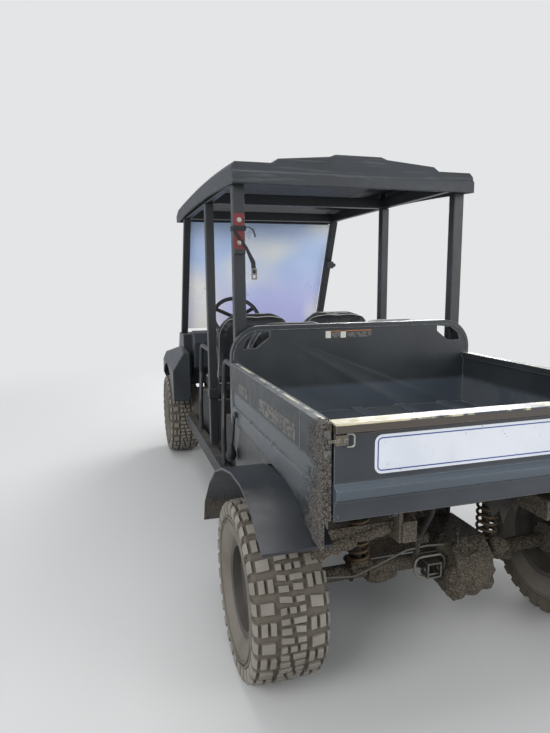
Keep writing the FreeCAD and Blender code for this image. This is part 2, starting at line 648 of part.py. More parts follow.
def cab():
    front = "sill_front_y"
    floor = [
        (front, "floor_low_z"), ("sill_rear_y", "floor_low_z"), ("sill_rear_y", "floor_top_z"),
        (f"{front} + floor_thick / 3", "floor_top_z"),
        ("cowl_rear_y + 22", "floor_low_z + 240"), ("cowl_rear_y + 4", "floor_low_z + 240"),
    ]
    node("floor_pan", prism("Floor", "YZ", floor, "-(sill_in_x - seat_gap)", "sill_in_x - seat_gap"))
    dash = [
        ("cowl_rear_y + seat_gap", "floor_low_z + 330"), ("cowl_rear_y + seat_gap", "cowl_top_z"),
        ("cowl_rear_y + 80", "cowl_top_z + 35"), ("cowl_rear_y + 160", "cowl_top_z + 20"),
        ("cowl_rear_y + 195", "cowl_top_z - 50"), ("cowl_rear_y + 150", "cowl_top_z - 240"),
        ("cowl_rear_y + 60", "floor_low_z + 330"),
    ]
    hollow = [
        ("cowl_rear_y - 5", "floor_low_z + 300"), ("cowl_rear_y - 5", "cowl_top_z - 10"),
        ("cowl_rear_y + 80", "cowl_top_z + 27"), ("cowl_rear_y + 155", "cowl_top_z + 12"),
        ("cowl_rear_y + 186", "cowl_top_z - 52"), ("cowl_rear_y + 142", "cowl_top_z - 240"),
        ("cowl_rear_y + 56", "floor_low_z + 300"),
    ]
    column_hole = steering_axis(cylinder("Z", ("0", "0", "-(column_length + 1)"), "column_length",
                                         "column_radius + seat_gap"))
    node("dash", cut(prism("Dash", "YZ", dash, "-dash_half", "dash_half"),
                     prism("DashHollow", "YZ", hollow, "-(dash_half - 8)", "dash_half - 8"), column_hole))
    rows = [seat_row(top_y) for top_y in ("front_seat_y", "rear_seat_y")]
    backs, cushions, bases = zip(*rows)
    node("seat_backs", group(*(part for back in backs for part in both(back))))
    node("seat_cushions", group(*(part for cushion in cushions for part in both(cushion))))
    node("seat_bases", group(*bases))
    node("rear_bulkhead", box(("-base_half", "base_half"), ("rear_post_y + post_deep / 2 + seat_gap",
                              "rear_post_y + post_deep / 2 + 7"), ("floor_top_z + seat_gap", "800")))


def seat_row(top_y):
    """The left back, the left cushion and the base of the row whose backs reach top_y."""
    left, right = "seat_half_gap", "seat_half_gap + seat_wide"
    foot_y = f"{top_y} - seat_recline"
    back_side = [
        (f"{top_y} - seat_back_deep", "seat_top_z"), (top_y, "seat_top_z - 30"),
        (foot_y, "seat_back_low_z"), (f"{foot_y} - seat_back_deep", "seat_back_low_z"),
    ]
    back_face = [(left, "seat_back_low_z"), (right, "seat_back_low_z"),
                 (right, "seat_top_z"), (left, "seat_top_z")]
    crown = [(left, "seat_top_z", "150"), (right, "seat_top_z", "150"),
             (left, "seat_back_low_z", "40"), (right, "seat_back_low_z", "40")]
    back = common(
        prism("BackSide", "YZ", back_side, left, right),
        prism("BackFace", "XZ", back_face, f"{foot_y} - seat_back_deep - 1", f"{top_y} + 1", crown))
    rear_edge = f"{foot_y} - seat_back_deep / 2"
    front_edge = f"{rear_edge} - cushion_long"
    seat_side = [
        (front_edge, "cushion_low_z"), (rear_edge, "cushion_low_z"),
        (rear_edge, "cushion_top_z"), (f"{front_edge} + 40", "cushion_top_z"),
        (front_edge, "cushion_top_z - 45"),
    ]
    seat_plan = [(left, front_edge), (right, front_edge), (right, rear_edge), (left, rear_edge)]
    plan_rounds = [(left, front_edge, "60"), (right, front_edge, "60")]
    cushion = common(
        prism("CushionSide", "YZ", seat_side, left, right),
        prism("CushionPlan", "XY", seat_plan, "cushion_low_z - 1", "cushion_top_z + 1", plan_rounds))
    low, high = "floor_top_z + seat_gap", "cushion_low_z - seat_gap"
    base_front, base_rear = f"{front_edge} + 40", f"{rear_edge} + 20"
    base = cut(
        box(("-base_half", "base_half"), (base_front, base_rear), (low, high)),
        box(("-(base_half - base_wall)", "base_half - base_wall"),
            (f"{base_front} + base_wall", f"{base_rear} - base_wall"),
            (f"{low} - 1", f"{high} - base_wall")))
    return back, cushion, base


def cab_frame():
    half = "post_wide / 2"
    deep = "post_deep / 2"
    top, foot = "front_post_top_y", "front_post_foot_y"
    rake = [
        (f"{foot} - {deep}", "front_post_foot_z"), (f"{foot} + {deep}", "front_post_foot_z"),
        (f"{top} + {deep}", "roof_rail_z"), (f"{top} - {deep}", "roof_rail_z"),
    ]
    front = prism("FrontPost", "YZ", rake, f"post_x - {half}", f"post_x + {half}")
    middle = box((f"mid_post_x - {half}", f"mid_post_x + {half}"),
                 (f"mid_post_y - {deep}", f"mid_post_y + {deep}"), ("sill_top_z", "roof_rail_z"))
    rear = box(("rear_post_x - rear_post_wide / 2", "rear_post_x + rear_post_wide / 2"),
               (f"rear_post_y - {deep}", f"rear_post_y + {deep}"), ("sill_top_z", "roof_rail_z"))
    node("cab_posts", group(*both(front), *both(middle), *both(rear)))
    z = ("roof_rail_z", "roof_rail_top_z")
    rails = both(box((f"post_x - {half}", f"post_x + {half} - 14"),
                     (f"{top} - {deep}", f"rear_post_y + {deep}"), z))
    bars = [
        box((f"-(post_x - {half})", f"post_x - {half}"), (f"{y} - {deep}", f"{y} + {deep}"), z)
        for y in (top, "mid_post_y", "rear_post_y")
    ]
    node("roof_rails", fuse(*rails, *bars))
    roof()
    screen = [
        ("screen_foot_y", "screen_foot_z"), ("screen_foot_y + screen_thick", "screen_foot_z"),
        ("screen_top_y + screen_thick", "screen_top_z"), ("screen_top_y", "screen_top_z"),
    ]
    node("windshield", prism("Screen", "YZ", screen, "-screen_half", "screen_half"))
    hoops = []
    for y in (f"rear_post_y - {deep}", f"mid_post_y - {deep}"):
        reach = f"({y} - hoop_reach)"
        hoops += both(tube("Hoop", [
            ("mid_post_x", y, "hoop_top_z"), ("mid_post_x", reach, "hoop_top_z"),
            ("mid_post_x", f"{reach} - 50", "hoop_top_z - 190"),
            ("mid_post_x + 20", f"{reach} + 20", "hoop_top_z - 380"),
            ("mid_post_x + 20", f"{reach} + 20", "sill_top_z"),
        ], "hoop_tube", "hoop_bend"))
    node("hip_restraints", group(*hoops))
    back = "rear_post_y + post_deep / 2 + seat_gap"
    sides = ("rear_post_x - 24", "rear_post_x + 26")
    bracket = fuse(
        box(sides, (back, f"{back} + bracket_plate"), ("bracket_low_z", "bracket_low_z + bracket_tall")),
        box(sides, (back, f"{back} + 12"), ("bracket_low_z", "bracket_low_z + bracket_foot")))
    node("bracket", bracket)
    # Strap: places from the post's middle and above the bracket's bottom, down one edge and up the other.
    strap = [(30, 117), (-36, 25), (-72, -41), (-76, -101), (-54, -101), (-52, -49), (-28, 11), (34, 99)]
    front = f"{back} + bracket_plate + seat_gap"
    node("bracket_strap", prism("Strap", "XZ", [
        (f"rear_post_x + {x}", f"bracket_low_z + {z}") for x, z in strap], front, f"{front} + 3"))


def roof():
    shells = []
    for wall in ("0", "roof_wall"):
        edge = f"roof_edge_z - {wall}"
        low = "roof_low_z" if wall == "0" else "roof_low_z - 60"
        side = f"roof_half - {wall}"
        half_section = [
            (side, low), (side, f"{edge} - 20"), (f"{side} - roof_round", edge), ("roof_step_x", edge),
            ("roof_bevel_x", f"{edge} + roof_bevel"), ("roof_shoulder_x", f"{edge} + roof_shoulder"),
            ("roof_crown_x", f"{edge} + roof_crown"),
        ]
        section = half_section + [(f"-({x})", z) for x, z in reversed(half_section)]
        front, rear = f"roof_front_y + {wall}", f"roof_rear_y - {wall}"
        top, fascia = f"{edge} + roof_crown", f"roof_low_z + roof_fascia - {wall}"
        length = [
            (front, low), (rear, low), (rear, fascia), (f"{rear} - 10", f"{fascia} + 8"),
            (f"{rear} - roof_lean", top), ("roof_bend_y", top), ("roof_bend_y - 320", f"{top} - 24"),
            ("roof_bend_y - 550", f"{top} - 62"), (front, f"{top} - roof_nose_drop"),
        ]
        shells.append(common(
            prism("RoofSection", "XZ", section, f"{front} - 1", f"{rear} + 1"),
            prism("RoofLength", "YZ", length, f"-({side} + 1)", f"{side} + 1")))
    node("roof", cut(*shells))


def steering_axis(piece):
    """Moves a piece made on the Z axis onto the steering column, its origin at the wheel's centre."""
    held = group(piece)
    return move(held, "wheel_hub_x", "wheel_hub_y", "wheel_hub_z", axis=(1, 0, 0),
                angle="-(90 - column_tilt)")


def steering():
    rim = doc.addObject("Part::Torus", "Rim")
    rim.setExpression("Radius1", bound("steering_rim"))
    rim.setExpression("Radius2", bound("steering_grip"))
    centre = cylinder("Z", ("0", "0", "-40"), "48", "38")
    spokes = []
    for turn in (90, 210, 330):
        spoke = doc.addObject("Part::Box", "Spoke")
        for size, text in (("Length", "steering_rim"), ("Width", "26"), ("Height", "9")):
            spoke.setExpression(size, bound(text))
        arm = Placement(Vector(), Rotation(Vector(0, 0, 1), turn))
        spoke.Placement = arm.multiply(Placement(Vector(0, -13, -8), Rotation()))
        spokes.append(spoke)
    bore = cylinder("Z", ("0", "0", "-41"), "31", "10 + running_gap")
    wheel = cut(fuse(rim, centre, *spokes), bore)
    node("steering_wheel", steering_axis(wheel))
    shaft = fuse(cylinder("Z", ("0", "0", "-(column_length)"), "column_length - 46", "column_radius"),
                 cylinder("Z", ("0", "0", "-60"), "48", "10"))
    node("steering_column", steering_axis(shaft))
    pedals = []
    for x, wide in (("230", "44"), ("330", "70")):
        hanger = box((f"{x} - 14", f"{x} + 14"), ("cowl_rear_y + seat_gap", "cowl_rear_y + 36"),
                     ("floor_low_z + 295", "floor_low_z + 325"))
        stem = bar("Stem", (x, "cowl_rear_y + 25", "floor_low_z + 310"),
                   (x, "cowl_rear_y + 120", "floor_low_z + 150"), "7")
        pad = bar("Pedal", (f"{x} - {wide} / 2", "cowl_rear_y + 124", "floor_low_z + 145"),
                  (f"{x} + {wide} / 2", "cowl_rear_y + 124", "floor_low_z + 145"), "16")
        pedals.append(fuse(hanger, stem, pad))
    node("pedals", group(*pedals))


def front_suspension():
    axle, pin = "front_axle_y", "kingpin_x"
    arms = []
    for z in ("lower_arm_z", "upper_arm_z"):
        plan = [
            ("rail_out_x + seat_gap", f"{axle} - 70"), (f"{pin} - 12", f"{axle} - 22"),
            (f"{pin} + 20", f"{axle} - 22"), (f"{pin} + 20", f"{axle} + 22"),
            (f"{pin} - 12", f"{axle} + 22"), ("rail_out_x + seat_gap", f"{axle} + 70"),
        ]
        hole = cylinder("Z", (pin, axle, f"{z} - 1"), "arm_thick + 2", "ball_pin + running_gap")
        plate = prism("Arm", "XY", plan, z, f"{z} + arm_thick", [
            (f"{pin} + 20", f"{axle} - 22", "18"), (f"{pin} + 20", f"{axle} + 22", "18")])
        arms += both(cut(plate, hole))
    node("front_arms", group(*arms))
    foot = "upper_arm_z + arm_thick + seat_gap"
    damper = cylinder("Z", ("shock_x", axle, foot), f"shock_top_z - seat_gap - ({foot})", "13")
    coils = cylinder("Z", ("shock_x", axle, f"{foot} + 18"), f"shock_top_z - 20 - ({foot} + 18)",
                     "shock_radius")
    node("front_shocks", group(*both(fuse(damper, coils))))
    case = box(("-90", "90"), ("steer_arm_y + cross_wide / 2 + seat_gap", f"{axle} + 60"),
               ("240", "nose_rail_top_z - 30"))
    shaft_left = cylinder("X", ("60", axle, "wheel_radius"), f"{pin} - 36 - 60", "13")
    long_shaft = cylinder("Y", ("-60", f"{axle} + 60", "low_rail_z"),
                          f"engine_front_y - {axle} - 60 - seat_gap", "18")
    node("front_drive", fuse(case, shaft_left, mirror(shaft_left), long_shaft))
    for side, sign in (("left", ""), ("right", "-")):
        knuckle(side, sign)
    housing = cut(
        box(("-150", "150"), ("steer_arm_y - 22", "steer_arm_y + 22"),
            ("rod_z - 22", "nose_rail_z - seat_gap")),
        cylinder("X", ("-151", "steer_arm_y", "rod_z"), "302", "rod_radius + running_gap"))
    node("rack_housing", housing)
    rods = cylinder("X", ("-steer_arm_x", "steer_arm_y", "rod_z"), "2 * steer_arm_x", "rod_radius")
    eyes = both(cylinder("Z", ("steer_arm_x", "steer_arm_y", "rod_z - 12"), "24", "15"))
    node("tie_rods", fuse(rods, *eyes))


def knuckle(side, sign):
    pin, axle = "kingpin_x", "front_axle_y"
    low, high = "lower_arm_z + arm_thick + 1", "upper_arm_z - 1"
    post = box((f"{pin} - 20", f"{pin} + 20"), (f"{axle} - 25", f"{axle} + 25"), (low, high))
    pins = cylinder("Z", (pin, axle, "lower_arm_z + 2"), "upper_arm_z + arm_thick - 4 - lower_arm_z",
                    "ball_pin")
    level = ("rod_z + 13", "rod_z + 27")
    arm = fuse(box(("steer_arm_x - 12", f"{pin} + 18"), ("steer_arm_y - 14", "steer_arm_y + 16"), level),
               box((f"{pin} - 10", f"{pin} + 18"), ("steer_arm_y + 10", f"{axle} - 20"), level))
    hub = cylinder("X", (f"{pin} + 10", axle, "wheel_radius"),
                   f"front_disc_x - {pin} - 10 - rim_wall / 2 - 2", "45")
    spindle = cylinder("X", (f"{pin} + 10", axle, "wheel_radius"), f"front_disc_x - {pin} + 8",
                       "spindle_radius")
    made = fuse(post, pins, arm, hub, spindle)
    node(f"knuckle_{side}", made if sign == "" else mirror(made))


def wheels():
    # Name, middle of the tyre, disc, axle line and tyre width.
    ends = [
        ("front", "front_wheel_x", "front_disc_x", "front_axle_y", "front_tyre_width"),
        ("rear", "rear_wheel_x", "rear_disc_x", "rear_axle_y", "rear_tyre_width"),
    ]
    for end, x, disc_x, y, width in ends:
        for side in ("left", "right"):
            tyre = tyre_body(width)
            rim = rim_body(f"{disc_x} - {x}", f"({width} / 2 - rim_inset)")
            turn = "0" if side == "left" else "180"
            place = (x if side == "left" else f"-{x}", y, "wheel_radius")
            node(f"tyre_{end}_{side}", move(tyre, *place, axis=(0, 0, 1), angle=turn))
            node(f"rim_{end}_{side}", move(rim, *place, axis=(0, 0, 1), angle=turn))


# Tyre section from the heel of the bead to the crown: distance across and radius of the carcass, how
# far a lug stands out across and outwards there, and the row of lugs on the band to the next place.
TYRE_SECTION = [
    ("half - rim_inset - 10 - seat_gap", "bead_radius + 0.2", "0", "0", None),
    ("half - rim_inset - 10 - seat_gap", "bead_radius + rim_lip + 4", "0", "0", None),
    ("half - 7", "wheel_radius - 62", "7", "0", "shoulder"),
    ("half - 14", "wheel_radius - 24", "11", "6", "shoulder"),
    ("half * 0.5", "wheel_radius - lug_depth", "0", "lug_depth", None),
    ("half * 0.36", "wheel_radius - lug_depth", "0", "lug_depth", "middle"),
]
TYRE_INSIDE = [("half - rim_inset - 26", "bead_radius + 0.2"), ("half - 26", "wheel_radius - 40")]


def tyre_body(width):
    """A tyre of flat faces whose shoulder lugs and middle lugs stand in turn round the tread.

    Each row of the section is drawn round the tyre in cells, two to a pitch. Shoulder lugs stand
    on the even cells and middle lugs on the odd ones. The faces are flat, so their corners lie a
    little outside the named radius and the tyre stands on the flat of a cell.
    """
    cells = 2 * int(value("lug_pitches"))
    stretch = 1 / math.cos(math.pi / cells)
    half = f"({width} / 2)"
    left = [(value(x.replace("half", half)), value(r), value(out), value(up), band)
            for x, r, out, up, band in TYRE_SECTION]
    # The band of a place on the right is that of the next place on the left.
    right = [(-x, r, -out, up, band) for (x, r, out, up, _), band in zip(
        reversed(left), [row[4] for row in reversed(left[:-1])] + [None])]
    inside = [(value(x.replace("half", half)), value(r), 0, 0, None) for x, r in TYRE_INSIDE]
    section = left + right + [(-x, r, 0, 0, None) for x, r, *_ in inside] + inside[::-1]

    def corner(row, cell, raised):
        x, radius, out, up, _ = section[row % len(section)]
        turn = -math.pi / 2 + 2 * math.pi * (cell - 0.5) / cells
        radius = (radius + raised * up) * stretch
        return Vector(x + raised * out, radius * math.cos(turn), radius * math.sin(turn))

    def stands(row, cell):
        band = section[row % len(section)][4]
        return band == ("middle" if cell % 2 else "shoulder")

    faces = []
    for cell in range(cells):
        for row in range(len(section)):
            up = stands(row, cell)
            faces.append(flat_face(corner(row, cell, up), corner(row + 1, cell, up),
                                   corner(row + 1, cell + 1, up), corner(row, cell + 1, up)))
            walls = []
            if up != stands(row, cell + 1):
                walls.append(((row, cell + 1), (row + 1, cell + 1)))
            if up != stands(row + 1, cell):
                walls.append(((row + 1, cell), (row + 1, cell + 1)))
            for first, last in walls:
                faces.append(flat_face(corner(*first, 0), corner(*last, 0), corner(*last, 1),
                                       corner(*first, 1)))
    shell = Part.makeShell(faces)
    shell.sewShape()
    made = doc.addObject("Part::Feature", "Tyre")
    made.Shape = Part.makeSolid(shell)
    return made


def flat_face(*corners):
    """One flat face through its corners."""
    return Part.Face(Part.makePolygon([*corners, corners[0]]))


def rim_body(disc, half):
    lip, seat = "bead_radius + rim_lip", "bead_radius"
    inner = "bead_radius - rim_wall"
    thick = "rim_wall / 2"
    section = [
        (f"-{half}", lip), (f"-{half} + 8", lip), (f"-{half} + 10", seat), (f"{disc} + 12", seat),
        (f"{disc} + 22", f"{seat} - rim_well"), (f"{half} - 48", f"{seat} - rim_well"),
        (f"{half} - 38", seat), (f"{half} - 10", seat),
        (f"{half} - 8", lip), (half, lip), (half, f"{lip} - 6"), (f"{half} - 4", inner),
        (f"{half} - 36", inner), (f"{half} - 46", f"{inner} - rim_well"),
        (f"{disc} + 24", f"{inner} - rim_well"),
        (f"{disc} + 14", inner), (f"{disc} + {thick}", inner), (f"{disc} + {thick}", "spindle_hole"),
        (f"{disc} - {thick}", "spindle_hole"), (f"{disc} - {thick}", inner),
        (f"-{half} + 4", inner), (f"-{half}", f"{lip} - 6"),
    ]
    body = turned("WheelRim", section)
    doc.recompute()
    hole = body.newObject("Sketcher::SketchObject", "WindowOutline")
    origin = next(f for f in body.Origin.OriginFeatures if f.Role == "YZ_Plane")
    hole.AttachmentSupport = [(origin, "")]
    hole.MapMode = "FlatFace"
    hole.setExpression("AttachmentOffset.Base.z", bound(f"{disc} - 10"))
    radius, out = value("hub_hole_radius"), value("hub_hole_circle")
    hole.addGeometry(Part.Circle(Vector(out, 0, 0), Vector(0, 0, 1), radius))
    for kind, text, ends in (("DistanceX", "hub_hole_circle", (-1, 1, 0, 3)),
                             ("DistanceY", "0", (-1, 1, 0, 3)), ("Radius", "hub_hole_radius", (0,))):
        lock = hole.addConstraint(Sketcher.Constraint(kind, *ends, value(text)))
        hole.setExpression(f"Constraints[{lock}]", bound(text))
    pocket = body.newObject("PartDesign::Pocket", "Window")
    pocket.Profile = hole
    pocket.Length = 20
    pocket.Reversed = True
    doc.recompute()
    ring = body.newObject("PartDesign::PolarPattern", "Windows")
    ring.Originals = [pocket]
    ring.Axis = (hole, ["N_Axis"])
    ring.Angle = 360
    ring.Occurrences = int(value("hub_hole_count"))
    ring.setExpression("Occurrences", bound("hub_hole_count"))
    body.Tip = ring
    return body


def rear_drive():
    y, z = "axle_tube_y", "axle_tube_z"
    end = "rear_disc_x - rim_wall / 2 - 45"
    left_tube = cylinder("X", ("case_left_x + seat_gap", y, z), f"{end} - case_left_x - seat_gap",
                         "axle_tube")
    right_tube = cylinder("X", (f"-({end})", y, z), f"case_right_x - seat_gap + {end}", "axle_tube")
    hubs = both(cylinder("X", (f"{end} - 20", "rear_axle_y", "wheel_radius"), "62", "62"))
    spindles = both(cylinder("X", (end, "rear_axle_y", "wheel_radius"), "45 + rim_wall + 10",
                             "spindle_radius"))
    node("rear_axle", group(fuse(left_tube, hubs[0], spindles[0]), fuse(right_tube, hubs[1], spindles[1])))
    case_side = [
        ("engine_rear_y + seat_gap", "case_low_z + 90"), ("engine_rear_y + 90", "case_low_z"),
        (f"{y} + 70", "case_low_z"), (f"{y} + 125", "case_low_z + 70"),
        (f"{y} + 125", "case_top_z - 60"), (f"{y} + 60", "case_top_z"),
        ("engine_rear_y + seat_gap", "case_top_z"),
    ]
    node("transaxle", prism("Case", "YZ", case_side, "case_right_x", "case_left_x"))
    top, foot = "(tail_rail_z - seat_gap)", f"({z} + axle_tube + seat_gap)"
    saddle = box(("spring_x - 45", "spring_x + 45"), (f"{y} - 40", f"{y} + 40"), (foot, f"{foot} + 12"))
    damper = cylinder("Z", ("spring_x", y, foot), f"{top} - {foot}", "22")
    coil = [
        cylinder("Z", ("spring_x", y, f"{foot} + 16 + {i} * coil_pitch"), "2 * spring_wire",
                 "spring_radius")
        for i in range(int(value("coil_count")))
    ]
    node("rear_springs", group(*both(fuse(saddle, damper, *coil))))
    out, hole = "receiver_out / 2", "receiver_in / 2"
    back = f"({y} + axle_tube + seat_gap)"
    square = box((f"-{out}", out), (back, "receiver_mouth_y"),
                 (f"receiver_z - {out}", f"receiver_z + {out}"))
    socket = box((f"-{hole}", hole), (f"{back} + 5", "receiver_mouth_y + 1"),
                 (f"receiver_z - {hole}", f"receiver_z + {hole}"))
    pin_hole = cylinder("X", (f"-{out} - 1", f"{back} + 34", "receiver_z"), f"2 * {out} + 2",
                        "pin_hole_radius")
    # Chain loop: sign of the side, place beyond the receiver's side, and height above its middle.
    bends = [("-", -3, -5), ("-", 26, 12), ("-", 20, 58), ("", 20, 58), ("", 26, 12), ("", -3, -5)]
    loop = tube("ChainLoop", [(f"{sign}({out} + {beyond})", f"{back} + 9", f"receiver_z + {rise}")
                              for sign, beyond, rise in bends], "loop_wire", "12")
    node("hitch_receiver", cut(fuse(square, loop), socket, pin_hole))
    mounts = both(box(("engine_half - 20", "rail_in_x - seat_gap"),
                      ("engine_front_y + 60", "engine_front_y + 120"),
                      ("tail_rail_z + 20", "tail_rail_top_z - 20")))
    block = box(("-engine_half", "engine_half"), ("engine_front_y", "engine_rear_y"),
                ("engine_low_z", "engine_top_z"))
    node("engine", fuse(block, *mounts))
    can = cylinder("X", ("20", "engine_rear_y + 80", "430"), "220", "52")
    strap = box(("100", "130"), ("engine_rear_y + seat_gap", "engine_rear_y + 60"), ("415", "445"))
    tail = cylinder("Y", ("70", "engine_rear_y + 80", "455"), "160", "17")
    node("muffler", fuse(can, strap, tail))
    line_y = f"{y} + spring_radius + line_radius + 3"
    node("rear_brake_line", tube("BrakeLine", [
        (f"{end} - 20 - seat_gap", line_y, "330"), ("435", line_y, "318"), ("330", line_y, "306"),
        ("225", line_y, "338"), ("110", line_y, "378"), ("20", line_y, "384"),
        ("case_left_x + seat_gap", line_y, "376"),
    ], "line_radius", "60"))


def bed():
    x_in, x_out = "bed_in_x", "bed_half"
    floor = box((f"-{x_in}", x_in), ("bed_front_y", "gate_in_y - 10"), ("bed_under_z", "bed_floor_z"))
    skin = prism("BedSkin", "YZ", skirt_outline("0"), f"{x_out} - bed_skin", x_out)
    inner = box((x_in, f"{x_out} - bed_skin"), ("bed_front_y", "bed_rear_y"), ("bed_under_z", "bed_top_z"))
    lip = box((f"{x_out} - rail_lip_wide", x_out), ("bed_front_y", "gate_in_y - 8"),
              ("bed_top_z - rail_lip_tall", "bed_top_z"))
    band = box((f"{x_out} - bed_band_depth", f"{x_out} + 1"), ("bed_front_y + 40", "bed_rear_y - 40"),
               ("bed_bevel_z", "bed_crease_z"))
    hole = cylinder("X", (f"{x_in} - 1", "gate_pivot_y", "gate_pivot_z"), "bed_wall - 6",
                    "gate_pin_radius + running_gap")
    side = cut(fuse(skin, inner, lip), band, hole)
    rail = box(("bed_rail_x", "bed_rail_x + bed_rail_wide"), ("rest_bar_y - 20", "pivot_y + pivot_lug"),
               ("bed_rail_low_z", "bed_under_z"))
    lug = box(("bed_rail_x", "bed_rail_x + bed_rail_wide"), ("pivot_y - pivot_lug", "pivot_y + pivot_lug"),
              ("pivot_z - 28", "bed_under_z"))
    pivot_hole = cylinder("X", ("bed_rail_x - 1", "pivot_y", "pivot_z"), "bed_rail_wide + 2",
                          "pivot_radius + running_gap")
    runner = cut(fuse(rail, lug), pivot_hole)
    corners = [(f"-{x_out}", "head_top_z"), (x_out, "head_top_z")]
    board = prism("Headboard", "XZ",
                  [(f"-{x_out}", "bed_under_z"), (x_out, "bed_under_z"), *reversed(corners)],
                  "bed_front_y", "bed_front_y + head_thick", [(*c, "head_corner") for c in corners])
    grip = [("445", "1178"), ("445", "1152"), ("512", "1101"), ("580", "1101"), ("566", "1140"),
            ("520", "1172")]
    holes = both(prism("HandHold", "XZ", grip, "bed_front_y - 1", "bed_front_y + head_thick + 1"))
    pitch = "2 * bed_in_x / rib_count"
    ribs = [
        box((f"-bed_in_x + ({i} + 0.5) * {pitch} - rib_wide / 2",
             f"-bed_in_x + ({i} + 0.5) * {pitch} + rib_wide / 2"),
            ("bed_front_y + head_thick", "gate_in_y - 30"), ("bed_floor_z", "bed_floor_z + rib_tall"))
        for i in range(int(value("rib_count")))
    ]
    pressing = box(("-bed_in_x + 70", "bed_in_x - 70"),
                   ("bed_front_y - 1", "bed_front_y + bed_band_depth"),
                   ("bed_floor_z + 60", "bed_top_z - 20"))
    board = cut(board, pressing)
    tub = fuse(floor, *both(side), *both(runner), board, *ribs)
    node("bed_tub", cut(tub, *holes))
    fenders()
    handle = fuse(
        tube("ReleaseRod", [
            ("bed_half + 12", "880", "816"), ("bed_half + 12", "836", "700"),
            ("bed_half + 14", "800", "612"),
        ], "6", "60"),
        box(("bed_half + seat_gap", "bed_half + 14"), ("868", "892"), ("806", "830")),
        bar("Grip", ("bed_half + 14", "812", "642"), ("bed_half + 14", "796", "600"), "15"))
    node("bed_release_handle", handle)


# Lower edge of the bed's skirt and the arch over the tyre: place behind the axle and height.
SKIRT_EDGE = [(408, 672), (294, 708), (121, 760), (-145, 778)]
ARCH = [(-625, 324), (-590, 420), (-450, 560), (-300, 665), (-155, 722), (0, 757), (148, 763), (279, 735),
        (336, 693), (412, 652)]


def skirt_outline(drop):
    """The bed side's outer skin, its lower edge lowered by drop."""
    lower = [("bed_rear_y", "667")] + [(f"rear_axle_y + {y}", f"{z}") for y, z in SKIRT_EDGE]
    return [("bed_front_y", "bed_top_z"), ("bed_rear_y", "bed_top_z")] + [
        (y, f"{z} - {drop}") for y, z in lower + [("bed_front_y", "790")]]


def fenders():
    outer = [(f"rear_axle_y + {y}", f"{z}") for y, z in ARCH]
    inner = [(y, f"{z} - fender_wall * 1.6") for y, z in outer]
    top = "bed_under_z - seat_gap"
    band = prism("Arch", "YZ", outer + list(reversed(inner)), "fender_in_x", "fender_out_x")
    under_bed = box(("fender_in_x - 1", "bed_half + seat_gap"), ("bed_front_y", "bed_rear_y"),
                    (top, "bed_top_z"))
    slot = ("bed_half - bed_skin - seat_gap", "bed_half + seat_gap")
    skirt_slot = prism("SkirtSlot", "YZ", skirt_outline("seat_gap"), *slot)
    web = prism("Web", "YZ", inner[:5] + [("rear_axle_y - 50", top), ("rear_axle_y - 620", top)],
                f"{slot[0]} - fender_wall", slot[0])
    node("bed_fenders", group(*both(cut(fuse(band, web), under_bed, skirt_slot))))


def tailgate():
    half = "gate_half"
    panel = [
        ("gate_in_y", "gate_low_z"), ("gate_out_y", "gate_low_z"),
        ("gate_out_y", "gate_ridge_z - gate_ridge_tall"), ("rear_face_y",
                                                           "gate_ridge_z - gate_ridge_tall / 2"),
        ("rear_face_y", "gate_ridge_z + gate_ridge_tall / 2"),
        ("gate_out_y", "gate_ridge_z + gate_ridge_tall"),
        ("gate_out_y", "bed_top_z - gate_rail_tall"), ("rear_face_y - 6", "bed_top_z - gate_rail_tall + 8"),
        ("rear_face_y - 6", "bed_top_z"), ("gate_in_y", "bed_top_z"),
    ]
    pins = both(cylinder("X", ("gate_half - 2", "gate_pivot_y", "gate_pivot_z"),
                         "bed_in_x - gate_half + bed_wall - 10", "gate_pin_radius"))
    body = prism("Panel", "YZ", panel, f"-{half}", half)
    recess = box((f"-{half} + 60", f"{half} - 60"), ("gate_in_y - 1", "gate_out_y - gate_skin"),
                 ("gate_ridge_z", "bed_top_z - gate_rail_tall"))
    node("tailgate_panel", fuse(cut(body, recess), *pins))
    rail_low = "bed_top_z - gate_rail_tall - seat_gap"
    sides = ("gate_half - 4 - latch_wide", "gate_half - 4")
    latch = fuse(
        box(sides, ("rear_face_y - 6 + seat_gap", "rear_face_y - 1"), (rail_low, "bed_top_z - 8")),
        box(sides, ("gate_out_y + seat_gap", "gate_out_y + seat_gap + 3 * latch_plate"),
            (f"{rail_low} - 24", rail_low)))
    bail = tube("Bail", [
        ("gate_half - 12", "gate_out_y + 11", f"{rail_low} - 20"),
        ("gate_half - 12", "gate_out_y + 11", f"{rail_low} - 40"),
        ("gate_half - 42", "gate_out_y + 11", f"{rail_low} - 40"),
        ("gate_half - 42", "gate_out_y + 11", f"{rail_low} - 20"),
    ], "4", "7")
    node("tailgate_latches", group(*both(fuse(latch, bail))))


def build():
    frame()
    front_body()
    cab()
    cab_frame()
    steering()
    front_suspension()
    wheels()
    rear_drive()
    bed()
    tailgate()


def check():
    """Stops on a failed object or a sub-part with no valid shape."""
    doc.recompute()
    failed = [o.Label for o in doc.Objects if "Invalid" in o.State or "Error" in o.State]
    if failed:
        raise RuntimeError(f"failed objects: {failed}")
    for made in NODES:
        shape = made.Shape
        if shape.isNull() or not shape.isValid() or not shape.Solids:
            raise RuntimeError(f"sub-part {made.Label} has no valid shape")


def export():
    os.makedirs("parts", exist_ok=True)
    for made in NODES:
        made.Shape.exportStep(f"parts/{made.Label}.step")
        print(made.Label, len(made.Shape.Solids), round(made.Shape.Volume / 1e6, 3))


build()
check()
export()
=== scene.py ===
"""Looks of a four seat side by side utility vehicle with a tipping cargo bed.

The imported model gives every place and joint, and this file gives the surfaces and their finish.
Metres, +X the vehicle's left, +Y its rear, +Z up, with the origin on the ground.
"""
from __future__ import annotations

